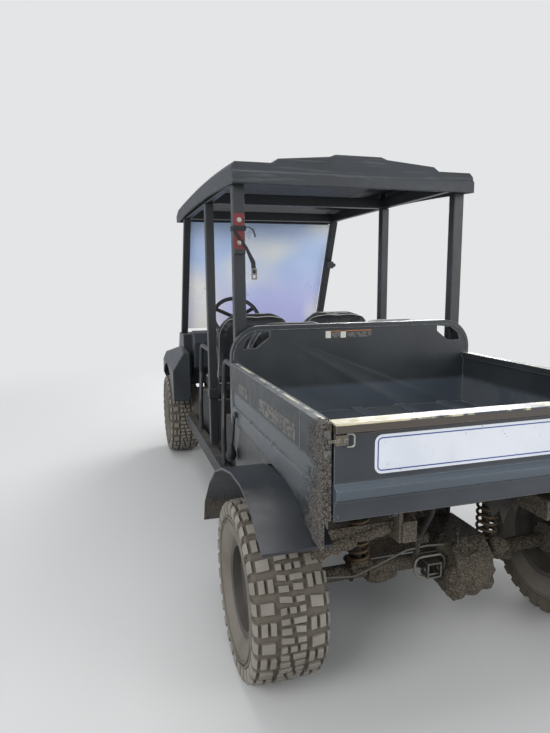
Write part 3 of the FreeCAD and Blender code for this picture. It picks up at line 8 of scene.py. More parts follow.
import json
import logging
import math
from collections.abc import Iterator
from contextlib import contextmanager
from dataclasses import dataclass
from enum import Enum

import bmesh
import bpy
import numpy as np
from mathutils import Matrix, Vector
from mathutils.bvhtree import BVHTree

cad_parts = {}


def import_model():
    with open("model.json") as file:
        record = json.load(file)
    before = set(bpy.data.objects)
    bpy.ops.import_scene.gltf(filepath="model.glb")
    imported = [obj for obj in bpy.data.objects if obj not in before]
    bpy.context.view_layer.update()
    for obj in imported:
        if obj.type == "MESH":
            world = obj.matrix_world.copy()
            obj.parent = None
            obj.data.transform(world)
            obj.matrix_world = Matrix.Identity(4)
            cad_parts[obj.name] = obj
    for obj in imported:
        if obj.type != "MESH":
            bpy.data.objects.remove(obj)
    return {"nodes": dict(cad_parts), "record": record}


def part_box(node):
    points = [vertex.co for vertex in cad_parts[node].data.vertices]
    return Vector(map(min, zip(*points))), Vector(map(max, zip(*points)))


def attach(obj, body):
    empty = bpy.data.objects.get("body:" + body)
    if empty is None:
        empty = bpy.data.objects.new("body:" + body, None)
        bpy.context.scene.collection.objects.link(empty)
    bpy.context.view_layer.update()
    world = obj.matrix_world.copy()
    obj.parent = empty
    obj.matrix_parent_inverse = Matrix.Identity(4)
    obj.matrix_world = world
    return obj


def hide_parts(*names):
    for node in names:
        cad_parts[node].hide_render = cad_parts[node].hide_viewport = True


LOG = logging.getLogger("side_by_side")
MM = 0.001
# Corners nearer than this are one.
SAME_POINT = 0.02 * MM
# Size in millimetres and detail of the noise for clouds, blotches and specks.
NOISES = ((260, 5), (38, 6), (7, 3))
# Refraction of clear plastic.
PLASTIC_IOR = 1.49
# Edges rounded by this many millimetres or more get more faces.
WIDE_BEVEL = 6.0
# Sizes in millimetres of the streaks, flecks and blobs of mud.
STREAK, FLECK, BLOB = 14.0, 16.0, 12.0
# Settings that many nodes share: a soft step, a mix of colours, a dot product and crisp noise.
SMOOTH = {"interpolation_type": "SMOOTHSTEP"}
COLOURS = {"data_type": "RGBA"}
DOT = {"operation": "DOT_PRODUCT"}
CRISP = {"Roughness": 0.6}
Point = tuple[float, float, float]
Socket = bpy.types.NodeSocket
Feed = bpy.types.Node | Socket | float


def linear(hex_colour: str) -> tuple[float, float, float, float]:
    """Turn an sRGB hex colour to linear light.

    Args:
        hex_colour: Six digits, such as "3a3c40".

    Returns:
        Red, green, blue and an alpha of 1.
    """
    parts = [int(hex_colour[i:i + 2], 16) / 255 for i in (0, 2, 4)]
    return tuple(p / 12.92 if p <= 0.04045 else ((p + 0.055) / 1.055) ** 2.4 for p in parts) + (1.0,)


class Axis(Enum):
    """The three directions of the frame, by column."""

    X = 0
    Y = 1
    Z = 2


@dataclass
class Shape:
    """A mesh under way: rows of x, y, z, and faces as arrays of like corner counts."""

    points: np.ndarray
    faces: list[np.ndarray]

    def __add__(self, other: Shape) -> Shape:
        """Both meshes as one, with no shared points."""
        shifted = [f + len(self.points) for f in other.faces]
        return Shape(np.vstack([self.points, other.points]), self.faces + shifted)

    def moved(self, x: float = 0.0, y: float = 0.0, z: float = 0.0) -> Shape:
        """The mesh shifted by x, y, z."""
        return Shape(self.points + np.array([x, y, z]), self.faces)

    def mirrored(self) -> Shape:
        """The mesh on the vehicle's other side, its faces still outwards."""
        return Shape(self.points * np.array([-1.0, 1.0, 1.0]), [f[:, ::-1] for f in self.faces])

    def both_sides(self) -> Shape:
        """The mesh and its mirror image."""
        return self + self.mirrored()

    def rows(self) -> list[list[int]]:
        """Every face's corners."""
        return [row for group in self.faces for row in group.tolist()]

    def mesh(self, name: str) -> bpy.types.Mesh:
        """A new Blender mesh of the shape."""
        made = bpy.data.meshes.new(name)
        made.from_pydata(self.points.tolist(), [], self.rows())
        return made

    def turned(self, axis: Axis, degrees: float, about: Point = (0, 0, 0)) -> Shape:
        """Turn the mesh.

        Args:
            axis: The direction to turn about.
            degrees: The angle, right handed.
            about: A point on the turning axis.

        Returns:
            The turned mesh.
        """
        matrix = np.array(Matrix.Rotation(math.radians(degrees), 3, axis.name))
        centre = np.array(about)
        return Shape((self.points - centre) @ matrix.T + centre, self.faces)


def join(shapes: list[Shape]) -> Shape:
    """All the meshes of a list as one."""
    offsets = np.cumsum([0] + [len(s.points) for s in shapes[:-1]])
    faces = [f + k for s, k in zip(shapes, offsets) for f in s.faces]
    return Shape(np.vstack([s.points for s in shapes]), faces)


def grid(points: np.ndarray, wrap_u: bool = False, wrap_v: bool = False) -> Shape:
    """Join a grid of points with quads: face (i, j) has corners (i, j), (i+1, j), (i+1, j+1), (i, j+1).

    Args:
        points: An array of rows, columns and x, y, z.
        wrap_u: Whether the last row meets the first.
        wrap_v: Whether the last column meets the first.

    Returns:
        The mesh.
    """
    rows, columns = points.shape[:2]
    i = np.arange(rows if wrap_u else rows - 1)[:, None]
    j = np.arange(columns if wrap_v else columns - 1)[None, :]
    after_i, after_j = (i + 1) % rows, (j + 1) % columns
    corners = [i * columns + j, after_i * columns + j, after_i * columns + after_j, i * columns + after_j]
    quads = np.stack(np.broadcast_arrays(*corners), axis=-1).reshape(-1, 4)
    return Shape(points.reshape(-1, 3), [quads])


def sweep(path: np.ndarray, section: np.ndarray, up: Point = (0, 0, 1),
          closed: bool = False, caps: bool = True) -> Shape:
    """Carry a closed section along a path: point = path + u * side + v * (side x tangent).

    Args:
        path: Rows of x, y, z.
        section: Rows of u, v, anticlockwise seen along the path from behind.
        up: A direction that the path never follows.
        closed: Whether the path's end meets its start.
        caps: Whether an open path's ends are closed by one face each.

    Returns:
        The mesh.
    """
    if closed:
        tangent = np.roll(path, -1, axis=0) - np.roll(path, 1, axis=0)
    else:
        tangent = np.gradient(path, axis=0)
    tangent /= np.linalg.norm(tangent, axis=1, keepdims=True)
    side = np.cross(tangent, np.array(up, float))
    side /= np.linalg.norm(side, axis=1, keepdims=True)
    rise = np.cross(side, tangent)
    spread = section[None, :, 0, None] * side[:, None] + section[None, :, 1, None] * rise[:, None]
    made = grid(path[:, None] + spread, wrap_u=closed, wrap_v=True)
    if caps and not closed:
        count, rows = len(section), len(path)
        made.faces.append(np.arange(count)[None, :])
        made.faces.append((np.arange(count)[::-1] + (rows - 1) * count)[None, :])
    return made


def circle(radius: float, sides: int) -> np.ndarray:
    """Rows of u, v round a circle."""
    turn = np.linspace(0, 2 * math.pi, sides, endpoint=False)
    return radius * np.stack([np.cos(turn), np.sin(turn)], axis=1)


def pipe(path: np.ndarray, radius: float, sides: int = 14, up: Point = (0, 0, 1),
         closed: bool = False) -> Shape:
    """A round bar along a path."""
    return sweep(path, circle(radius, sides), up, closed)


def rounded(corners: list[Point], bend: float, steps: int = 6) -> np.ndarray:
    """A path of straight runs with an arc of radius bend at each inner corner.

    Args:
        corners: The corners, first and last included.
        bend: The arcs' radius.
        steps: Points along each arc.

    Returns:
        Rows of x, y, z.
    """
    places = [np.array(c, float) for c in corners]
    rows = [places[0][None]]
    for before, corner, after in zip(places, places[1:], places[2:]):
        inward = (before - corner) / np.linalg.norm(before - corner)
        outward = (after - corner) / np.linalg.norm(after - corner)
        half = math.acos(float(np.clip(inward @ outward, -1, 1))) / 2
        middle = (inward + outward) / np.linalg.norm(inward + outward)
        centre = corner + middle * bend / math.sin(half)
        start = corner + inward * bend / math.tan(half) - centre
        end = corner + outward * bend / math.tan(half) - centre
        sweep_angle = math.pi - 2 * half
        share = np.linspace(0, 1, steps)[:, None]
        arc = np.sin((1 - share) * sweep_angle) * start + np.sin(share * sweep_angle) * end
        rows.append(centre + arc / math.sin(sweep_angle))
    rows.append(places[-1][None])
    return np.vstack(rows)


def arch(x: float, y: float, low: float, high: float) -> list[Point]:
    """The corners of a line up at x, across to -x and down again."""
    return [(x, y, low), (x, y, high), (-x, y, high), (-x, y, low)]


def revolve(profile: np.ndarray, steps: int, centre: Point = (0, 0, 0)) -> Shape:
    """Turn a closed profile about the X direction: y = r cos(a), z = r sin(a).

    Args:
        profile: Rows of x and radius.
        steps: Stations round the circle.
        centre: The point that the profile is measured from.

    Returns:
        The mesh.
    """
    turn = np.linspace(0, 2 * math.pi, steps, endpoint=False)[:, None]
    x = np.broadcast_to(profile[:, 0], (steps, len(profile)))
    points = np.stack([x, profile[:, 1] * np.cos(turn), profile[:, 1] * np.sin(turn)], axis=-1)
    return grid(points + np.array(centre), wrap_u=True, wrap_v=True)


def block(low: Point, high: Point) -> Shape:
    """A box between two corners."""
    (x0, y0, z0), (x1, y1, z1) = low, high
    points = np.array([[x0, y0, z0], [x1, y0, z0], [x1, y1, z0], [x0, y1, z0],
                       [x0, y0, z1], [x1, y0, z1], [x1, y1, z1], [x0, y1, z1]], float)
    faces = np.array([[3, 2, 1, 0], [4, 5, 6, 7], [0, 1, 5, 4], [2, 3, 7, 6], [1, 2, 6, 5], [3, 0, 4, 7]])
    return Shape(points, [faces])


def slab(outline: np.ndarray, low: float, high: float, across: Axis) -> Shape:
    """A plate: an outline pulled straight along one direction.

    Args:
        outline: Rows of the two other coordinates, in the order X, Y, Z.
        low: Start along the direction.
        high: End along the direction.
        across: The direction.

    Returns:
        The mesh, closed by one face at each end.
    """
    count = len(outline)
    ends = [np.insert(outline, across.value, level, axis=1) for level in (low, high)]
    made = grid(np.stack(ends), wrap_v=True)
    made.faces.append(np.arange(count)[None, ::-1])
    made.faces.append(np.arange(count, 2 * count)[None, :])
    return made


def bolt_head(centre: Point, radius: float, height: float, along: Axis, sign: int = 1) -> Shape:
    """A hexagon bolt head with its washer, standing out from centre.

    Args:
        centre: The middle of the washer's foot.
        radius: The head's, to its corners.
        height: How far it stands out.
        along: The direction it stands in.
        sign: 1 to stand out forwards along it, -1 backwards.

    Returns:
        The mesh.
    """
    sides = circle(radius, 6)
    washer = circle(radius * 1.35, 18)
    start = centre[along.value]
    others = [c for k, c in enumerate(centre) if k != along.value]
    low, high = sorted((start, start + sign * height))
    low_w, high_w = sorted((start, start + sign * height * 0.25))
    return slab(sides + others, low, high, along) + slab(washer + others, low_w, high_w, along)


def rounded_rectangle(half_wide: float, half_tall: float, corner: float, steps: int = 6) -> np.ndarray:
    """Rows of u, v round a rectangle with quarter circles of radius corner.

    Args:
        half_wide: Half its size along u.
        half_tall: Half its size along v.
        corner: The corners' radius.
        steps: Points round each corner.

    Returns:
        The rows, anticlockwise.
    """
    turn = np.linspace(0, math.pi / 2, steps)
    rows = []
    for quarter, (su, sv) in enumerate(((1, 1), (-1, 1), (-1, -1), (1, -1))):
        angle = turn + quarter * math.pi / 2
        centre = np.array([su * (half_wide - corner), sv * (half_tall - corner)])
        rows.append(centre + corner * np.stack([np.cos(angle), np.sin(angle)], axis=1))
    return np.vstack(rows)


def ring_plate(outer: np.ndarray, inner: np.ndarray, low: float, high: float, across: Axis) -> Shape:
    """A flat ring between two outlines of as many points, with square edges.

    Args:
        outer: Rows of the two other coordinates.
        inner: The hole's rows.
        low: Start along the direction.
        high: End along it.
        across: The direction.

    Returns:
        The mesh.
    """
    rows = [np.insert(edge, across.value, level, axis=1)
            for edge, level in ((outer, low), (outer, high), (inner, high), (inner, low))]
    return grid(np.stack(rows), wrap_u=True, wrap_v=True)


def tapered(path: np.ndarray, radii: np.ndarray, sides: int = 20, up: Point = (0, 0, 1)) -> Shape:
    """A round bar along a path whose radius changes from point to point.

    Args:
        path: Rows of x, y, z.
        radii: The radius at each row.
        sides: Corners round the bar.
        up: A direction that the path never follows.

    Returns:
        The mesh.
    """
    made = pipe(path, 1.0, sides, up)
    rings = made.points.reshape(len(path), sides, 3)
    rings = path[:, None] + (rings - path[:, None]) * np.asarray(radii)[:, None, None]
    return Shape(rings.reshape(-1, 3), made.faces)


def helix(centre: Point, radius: float, height: float, turns: int, each: int = 24) -> np.ndarray:
    """A coil's path about Z: angle grows evenly, and so does the height but for a flat turn at each end.

    Args:
        centre: The middle of its foot.
        radius: From the middle to the wire's middle.
        height: From its first to its last turn.
        turns: How often it goes round.
        each: Points to a turn.

    Returns:
        Rows of x, y, z.
    """
    share = np.linspace(0, 1, turns * each)
    angle = share * turns * 2 * math.pi
    rise = np.clip((share * turns - 0.8) / (turns - 1.6), 0, 1) * height
    rows = np.stack([radius * np.cos(angle), radius * np.sin(angle), rise], axis=1)
    return rows + np.array(centre)


def ball(level: int = 4) -> Shape:
    """A sphere of radius 1, of like triangles."""
    work = bmesh.new()
    bmesh.ops.create_icosphere(work, subdivisions=level, radius=1.0)
    points = np.array([v.co[:] for v in work.verts])
    faces = np.array([[v.index for v in f.verts] for f in work.faces])
    work.free()
    return Shape(points, [faces])


def clod(centre: Point, radii: Point, rough: float, seed: int, level: int = 4) -> Shape:
    """A lump of earth: a ball stretched to radii, its surface moved by noise of two sizes.

    Args:
        centre: Its middle.
        radii: Half sizes.
        rough: How far the noise moves the surface.
        seed: Picks the lumps.
        level: Subdivision of the ball.

    Returns:
        The mesh.
    """
    made = ball(level)
    way = made.points
    spots = way * np.array(radii)
    noise = value_noise(spots, 0.045, seed) + 0.5 * value_noise(spots, 0.018, seed + 7)
    return Shape(spots + way * (noise * rough)[:, None] + np.array(centre), made.faces)


def value_noise(points: np.ndarray, size: float, seed: int = 0) -> np.ndarray:
    """Smooth noise from -1 to 1: lattice values blended by s(t) = t * t * (3 - 2 t) on each axis.

    Args:
        points: Rows of x, y, z.
        size: The lattice spacing.
        seed: Picks the lattice values.

    Returns:
        One value per row.
    """
    scaled = points / size + 1000.0
    cell = np.floor(scaled).astype(np.int64)
    part = scaled - cell
    part = part * part * (3 - 2 * part)
    total = np.zeros(len(points))
    for corner in np.ndindex(2, 2, 2):
        # A cell's value is a hash of its three whole numbers and the seed.
        key = cell + np.array(corner)
        mixed = key[:, 0] * 73856093 ^ key[:, 1] * 19349663 ^ key[:, 2] * 83492791 ^ (seed * 2654435761)
        mixed = (mixed ^ (mixed >> 13)) * 1274126177
        lattice = ((mixed ^ (mixed >> 16)) & 0xFFFF) / 32767.5 - 1
        weight = np.prod(np.where(np.array(corner) == 1, part, 1 - part), axis=1)
        total += lattice * weight
    return total


@dataclass
class Graph:
    """A material's or the world's node tree under way."""

    tree: bpy.types.NodeTree

    @classmethod
    def of(cls, owner: bpy.types.Material | bpy.types.World) -> Graph:
        """An empty graph in a material or world.

        Args:
            owner: The material or world.

        Returns:
            The graph.
        """
        owner.use_nodes = True
        owner.node_tree.nodes.clear()
        return cls(owner.node_tree)

    def add(self, kind: str, inputs: dict | None = None, **settings) -> bpy.types.Node:
        """Add one shader node.

        Args:
            kind: The node's type name after ShaderNode.
            inputs: Socket name or number to a value, an sRGB hex colour, the output that feeds it,
                or a node whose first output does.
            settings: The node's own properties.

        Returns:
            The node.
        """
        node = self.tree.nodes.new(f"ShaderNode{kind}")
        for name, value in settings.items():
            setattr(node, name, value)
        for key, value in (inputs or {}).items():
            if isinstance(value, bpy.types.Node):
                value = value.outputs[0]
            if isinstance(value, Socket):
                self.tree.links.new(value, node.inputs[key])
            else:
                node.inputs[key].default_value = linear(value) if isinstance(value, str) else value
        return node

    def product(self, *factors: Feed) -> Feed:
        """All the factors multiplied, from the first on.

        Args:
            factors: Nodes, outputs or numbers.

        Returns:
            What gives the product.
        """
        total = factors[0]
        for factor in factors[1:]:
            total = self.add("Math", {0: total, 1: factor}, operation="MULTIPLY")
        return total

    def weighed(self, *terms: tuple[Feed, float]) -> Feed:
        """The sum of values times their weights.

        Args:
            terms: Each value and its weight.

        Returns:
            What gives the sum.
        """
        total = self.product(*terms[0])
        for term in terms[1:]:
            total = self.add("Math", {0: total, 1: self.product(*term)}, operation="ADD")
        return total


@dataclass
class Spot:
    """The point that is shaded: its place, how far it faces up, and noise of three sizes there."""

    place: Socket
    up: Socket
    clouds: Feed
    blotch: Feed
    speck: Feed


@dataclass(frozen=True)
class Band:
    """A stretch of a surface with its own colour, between two places along a direction.

    Its ends wander by ragged millimetres, and patchy is the share of it that is missing in patches.
    The band keeps to distances between within[0] and within[1] from the middle plane, and to faces
    that look up where top is set.
    """

    colour: str
    along: Point
    low: float
    high: float
    share: float = 1.0
    ragged: float = 6.0
    soft: float = 1.5
    patchy: float = 0.0
    roughness: float = 0.5
    within: tuple[float, float] | None = None
    top: bool = False

    def over(self, graph: Graph, spot: Spot, colour: Feed, rough: Feed) -> tuple[Feed, Feed]:
        """Lay the band over what is there.

        Args:
            graph: The material's nodes.
            spot: The shaded point.
            colour: The colour so far.
            rough: The roughness so far.

        Returns:
            The colour and roughness with the band over them.
        """
        along = graph.add("VectorMath", {0: spot.place, 1: self.along}, **DOT).outputs["Value"]
        wander = graph.add("Math", {0: spot.blotch, 1: 0.5}, operation="SUBTRACT")
        wander = graph.product(wander, self.ragged * 4 * MM)
        along = graph.add("Math", {0: along, 1: wander}, operation="ADD")
        soft = self.soft * MM
        rise, fall = (graph.add("MapRange", {0: along, 1: edge - soft, 2: edge + soft}, **SMOOTH)
                      for edge in (self.low, self.high))
        share = graph.product(rise, graph.add("Math", {0: 1.0, 1: fall}, operation="SUBTRACT"), self.share)
        if self.patchy:
            mixed = graph.weighed((spot.clouds, 0.7), (spot.blotch, 0.3))
            start = 0.36 + self.patchy * 0.25
            left = graph.add("MapRange", {0: mixed, 1: start, 2: start + 0.08}, **SMOOTH)
            share = graph.product(share, left)
        if self.within:
            side = graph.add("SeparateXYZ", {0: spot.place}).outputs["X"]
            away = graph.add("Math", {0: side}, operation="ABSOLUTE")
            inner, outer = (graph.add("MapRange", {0: away, 1: edge - soft, 2: edge + soft}, **SMOOTH)
                            for edge in self.within)
            share = graph.product(share, graph.add("Math", {0: inner, 1: outer}, operation="SUBTRACT"))
        if self.top:
            share = graph.product(share, graph.add("MapRange", {0: spot.up, 1: 0.4, 2: 0.6}, **SMOOTH))
        colour = graph.add("Mix", {0: share, 6: colour, 7: self.colour}, **COLOURS).outputs[2]
        return colour, graph.add("Mix", {0: share, 2: rough, 3: self.roughness})


@dataclass(frozen=True)
class Coat:
    """A surface with its own grain, dust on what faces up, and dried mud towards one end.

    Lengths are in millimetres, and mud_along is a direction in the frame: mud fills in from
    mud_start to mud_end metres along it.
    """

    name: str
    base: str
    shade: str
    roughness: float = 0.6
    metallic: float = 0.0
    grain: float = 2.0
    grain_depth: float = 0.15
    dust: str = "7d7466"
    dust_share: float = 0.35
    mud: str = "6a5d4c"
    mud_along: Point = (0.0, 0.0, -1.0)
    mud_start: float = -0.75
    mud_end: float = -0.25
    mud_share: float = 0.0
    mud_depth: float = 3.0
    mud_pit: str = "38332c"
    worn: str = ""
    worn_radius: float = 3.0
    edge_radius: float = 0.0
    depth_attribute: bool = False
    streaks: float = 0.0
    streak_scale: Point = (1.0, 1.0, 0.08)
    specks: str = ""
    speck_share: float = 0.1
    bands: tuple[Band, ...] = ()

    def surface(self, graph: Graph) -> Feed:
        """Make the shader: base, streaks, flecks, bands, wear, dust and mud, in that order.

        Args:
            graph: The material's nodes.

        Returns:
            The shader.
        """
        texture = graph.add("TexCoord").outputs
        place = texture["Object"]
        clouds, blotch, speck, fine = (
            graph.add("TexNoise", {"Vector": place, "Scale": 1 / (size * MM), "Detail": detail, **CRISP})
            for size, detail in (*NOISES, (self.grain, 2)))
        up = graph.add("SeparateXYZ", {0: texture["Normal"]}).outputs["Z"]
        spot = Spot(place, up, clouds, blotch, speck)
        share = graph.add("MapRange", {0: clouds, 1: 0.35, 2: 0.7}, **SMOOTH)
        colour = graph.add("Mix", {0: share, 6: self.base, 7: self.shade}, **COLOURS).outputs[2]
        rough = graph.add("MapRange", {0: blotch, 3: self.roughness - 0.1, 4: self.roughness + 0.14})
        if self.streaks:
            stretched = graph.add("Mapping", {"Vector": place, "Scale": self.streak_scale})
            runs = graph.add("TexNoise", {"Vector": stretched, "Scale": 1 / (STREAK * MM), "Detail": 3,
                                          **CRISP})
            share = graph.product(graph.add("MapRange", {0: runs, 1: 0.55, 2: 0.75}, **SMOOTH), self.streaks)
            colour = graph.add("Mix", {0: share, 6: colour, 7: self.dust}, **COLOURS).outputs[2]
        if self.specks:
            flecks = graph.add("TexNoise", {"Vector": place, "Scale": 1 / (FLECK * MM), "Detail": 4,
                                            **CRISP})
            start = 0.66 - self.speck_share
            share = graph.add("MapRange", {0: flecks, 1: start, 2: start + 0.04}, **SMOOTH)
            colour = graph.add("Mix", {0: share, 6: colour, 7: self.specks}, **COLOURS).outputs[2]
        for band in self.bands:
            colour, rough = band.over(graph, spot, colour, rough)
        if self.worn:
            colour, rough = self._wear(graph, spot, colour, rough)
        settled = graph.weighed((up, 0.5), (blotch, 0.45), (speck, 0.2), (clouds, 1.0))
        start = 1.35 - self.dust_share
        dust = graph.add("MapRange", {0: settled, 1: start, 2: start + 0.70}, **SMOOTH)
        if self.depth_attribute:
            groove = graph.add("Attribute", attribute_name="groove").outputs["Fac"]
            dust = graph.add("Math", {0: dust, 1: graph.product(groove, 0.9)}, operation="MAXIMUM")
        colour = graph.add("Mix", {0: dust, 6: colour, 7: self.dust}, **COLOURS).outputs[2]
        height = graph.product(fine, self.grain_depth * MM)
        if self.mud_share:
            crust, relief = self._crust(graph, spot)
            dry = graph.add("MapRange", {0: speck, 1: 0.4, 2: 0.62}, **SMOOTH)
            mud = graph.add("Mix", {0: dry, 6: self.mud, 7: self.dust}, **COLOURS).outputs[2]
            raised = graph.add("MapRange", {0: fine, 1: 0.40, 2: 0.54}, **SMOOTH)
            mud = graph.add("Mix", {0: raised, 6: self.mud_pit, 7: mud}, **COLOURS).outputs[2]
            colour = graph.add("Mix", {0: crust, 6: colour, 7: mud}, **COLOURS).outputs[2]
            height = graph.add("Math", {0: height, 1: relief}, operation="ADD")
            dust = graph.add("Math", {0: dust, 1: crust}, operation="MAXIMUM")
        facing = {}
        if self.edge_radius:
            facing["Normal"] = graph.add("Bevel", {"Radius": self.edge_radius * MM}, samples=6)
        bump = graph.add("Bump", {"Height": height, "Strength": 1.0, "Distance": 1.0, **facing})
        matt = graph.add("Mix", {0: dust, 2: rough, 3: 0.92})
        return graph.add("BsdfPrincipled", {"Base Color": colour, "Roughness": matt,
                                            "Metallic": self.metallic, "Normal": bump})

    def _wear(self, graph: Graph, spot: Spot, colour: Feed, rough: Feed) -> tuple[Feed, Feed]:
        """Lay bare or scuffed material where an edge stands out: the rounded normal leaves the flat one.

        Args:
            graph: The material's nodes.
            spot: The shaded point.
            colour: The colour so far.
            rough: The roughness so far.

        Returns:
            The colour and roughness with the wear over them.
        """
        soft = graph.add("Bevel", {"Radius": self.worn_radius * MM}, samples=4)
        flat = graph.add("NewGeometry").outputs["Normal"]
        alike = graph.add("VectorMath", {0: soft, 1: flat}, **DOT).outputs["Value"]
        edge = graph.add("Math", {0: 1.0, 1: alike}, operation="SUBTRACT")
        edge = graph.product(edge, graph.add("Math", {0: spot.blotch, 1: 0.2}, operation="ADD"))
        share = graph.add("MapRange", {0: edge, 1: 0.03, 2: 0.1}, **SMOOTH)
        colour = graph.add("Mix", {0: share, 6: colour, 7: self.worn}, **COLOURS).outputs[2]
        return colour, graph.add("Mix", {0: share, 2: rough, 3: 0.42})

    def _crust(self, graph: Graph, spot: Spot) -> tuple[Feed, Feed]:
        """Make the dried mud.

        Args:
            graph: The material's nodes.
            spot: The shaded point.

        Returns:
            How much of it shows, and its relief in metres.
        """
        along = graph.add("VectorMath", {0: spot.place, 1: self.mud_along}, **DOT).outputs["Value"]
        reach = graph.add("MapRange", {0: along, 1: self.mud_start, 2: self.mud_end})
        cells = graph.add("TexVoronoi", {"Vector": spot.place, "Scale": 1 / (BLOB * MM)}, feature="F1")
        blobs = graph.add("Math", {0: 1.0, 1: cells.outputs["Distance"]}, operation="SUBTRACT")
        total = graph.weighed((reach, 1.1), (spot.clouds, 0.6), (spot.blotch, 0.8), (spot.speck, 0.5),
                              (blobs, 0.3))
        start = 2.24 - self.mud_share
        crust = graph.add("MapRange", {0: total, 1: start, 2: start + 0.10}, **SMOOTH)
        lumps = graph.weighed((spot.blotch, 1.0), (spot.speck, 0.6), (blobs, 0.8))
        return crust, graph.product(crust, lumps, self.mud_depth * MM)


@dataclass(frozen=True)
class Clear:
    """A clear or hazy plastic or glass sheet: haze is the share that only glows through.

    The glow turns from a low colour to the haze colour between the two heights of turn, in metres, and
    has clouds of a third colour about area metres across. On the screen all three are painted light: the
    low and haze colours, lilac and blue, a painted backdrop seen through it, and the cream clouds painted
    glare.
    """

    name: str
    tint: str
    haze_colour: str
    haze: float
    roughness: float
    low_colour: str = ""
    warm_colour: str = ""
    turn: tuple[float, float] = (1.2, 1.6)
    area: float = 0.5

    def surface(self, graph: Graph) -> Feed:
        """Make the shader: a clear sheet mixed with a cloudy glow, which on the screen has painted backdrop
        and glare colours.

        Args:
            graph: The material's nodes.

        Returns:
            The shader.
        """
        place = graph.add("TexCoord").outputs["Object"]
        cloud = graph.add("TexNoise", {"Vector": place, "Scale": 3.0, "Detail": 4.0})
        wide = graph.add("TexNoise", {"Vector": place, "Scale": 1 / self.area, "Detail": 1.0})
        rough = graph.add("MapRange", {0: cloud, 3: self.roughness * 0.7, 4: self.roughness * 1.3})
        pane = graph.add("BsdfPrincipled", {"Base Color": self.tint, "Roughness": rough,
                                            "IOR": PLASTIC_IOR, "Transmission Weight": 1.0})
        height = graph.add("SeparateXYZ", {0: place}).outputs["Z"]
        low, high = self.turn
        # On the screen, a painted backdrop seen through it: the low colour below the first height, the haze
        # colour above the second.
        rise = graph.add("MapRange", {0: height, 1: low, 2: high}, **SMOOTH)
        haze_and_backdrop_hue = graph.add("Mix", {0: rise, 6: self.low_colour or self.haze_colour, 7: self.haze_colour},
                        **COLOURS).outputs[2]
        # On the screen, painted glare: clouds of a pale cream colour.
        painted_glare_share = graph.add("MapRange", {0: wide, 1: 0.40, 2: 0.70}, **SMOOTH)
        haze_and_backdrop_hue = graph.add("Mix", {0: painted_glare_share, 6: haze_and_backdrop_hue, 7: self.warm_colour or self.haze_colour},
                        **COLOURS).outputs[2]
        body = graph.add("BsdfPrincipled", {"Base Color": haze_and_backdrop_hue, "Roughness": 0.35, "IOR": PLASTIC_IOR})
        through = graph.add("BsdfTranslucent", {"Color": haze_and_backdrop_hue})
        glow = graph.add("MixShader", {0: 0.5, 1: body, 2: through})
        share = graph.add("MapRange", {0: cloud, 3: self.haze - 0.12, 4: min(self.haze + 0.12, 1.0)})
        return graph.add("MixShader", {0: share, 1: pane, 2: glow})


def finish_of(coat: Coat | Clear) -> bpy.types.Material:
    """The material of a coat, made when it is first asked for."""
    title = f"{coat.name}_finish"
    if title not in bpy.data.materials:
        graph = Graph.of(bpy.data.materials.new(title))
        graph.add("OutputMaterial", {"Surface": coat.surface(graph)})
    return bpy.data.materials[title]


@contextmanager
def edited(mesh: bpy.types.Mesh, source: bpy.types.Mesh | None = None) -> Iterator[bmesh.types.BMesh]:
    """Open a mesh for edits, from the source's faces where one is given, and write it back at the end.

    Args:
        mesh: The mesh that is written.
        source: The mesh that is read, if it is another one.

    Returns:
        The open mesh.
    """
    work = bmesh.new()
    work.from_mesh(source or mesh)
    yield work
    work.to_mesh(mesh)
    work.free()


def put(name: str, data: bpy.types.ID) -> bpy.types.Object:
    """A new object in the scene."""
    made = bpy.data.objects.new(name, data)
    bpy.context.scene.collection.objects.link(made)
    return made


def corners_of(mesh: bpy.types.Mesh) -> np.ndarray:
    """A mesh's points as rows of x, y, z."""
    points = np.empty(len(mesh.vertices) * 3)
    mesh.vertices.foreach_get("co", points)
    return points.reshape(-1, 3)


def finish_mesh(piece: bpy.types.Object, bevel: float, segments: int, angle: float) -> None:
    """Smooth a mesh up to an angle and round its sharper edges.

    Args:
        piece: The object.
        bevel: Rounding in metres, or 0 for none.
        segments: Faces across each rounding.
        angle: Edges sharper than this many degrees stay edges.
    """
    mesh = piece.data
    mesh.polygons.foreach_set("use_smooth", np.ones(len(mesh.polygons), bool))
    mesh.set_sharp_from_angle(angle=math.radians(angle))
    if bevel:
        rounding = piece.modifiers.new("Rounding", "BEVEL")
        rounding.width = bevel
        rounding.segments = segments
        rounding.limit_method = "ANGLE"
        rounding.angle_limit = math.radians(angle)
        rounding.harden_normals = True
        rounding.use_clamp_overlap = True


def add_piece(name: str, shape: Shape, coat: Coat | Clear, body: str, bevel: float = 0.0,
              segments: int = 2, angle: float = 32.0, replaces: tuple[str, ...] = (),
              closed: bool = True) -> bpy.types.Object:
    """Put a mesh into the scene as a piece of the vehicle.

    Args:
        name: The piece's name.
        shape: Its mesh, in place.
        coat: Its finish.
        body: The moving body it rides on.
        bevel: Rounding of its edges in metres.
        segments: Faces across each rounding.
        angle: Edges sharper than this many degrees are rounded.
        replaces: The model's nodes that it stands for.
        closed: Whether its shells are closed, so that their faces can be turned outwards.

    Returns:
        The object.
    """
    mesh = shape.mesh(name)
    if closed:
        with edited(mesh) as work:
            bmesh.ops.recalc_face_normals(work, faces=work.faces)
    mesh.materials.append(finish_of(coat))
    mesh.update()
    piece = put(name, mesh)
    finish_mesh(piece, bevel, segments, angle)
    return settle(piece, body, replaces)


def settle(piece: bpy.types.Object, body: str, replaces: tuple[str, ...]) -> bpy.types.Object:
    """Tell the frame what a piece rides on and stands for.

    Args:
        piece: The object.
        body: The moving body.
        replaces: The model's nodes that it stands for.

    Returns:
        The object.
    """
    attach(piece, body)
    if replaces:
        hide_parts(*replaces)
    LOG.info("%s: %d faces on %s", piece.name, len(piece.data.polygons), body)
    return piece


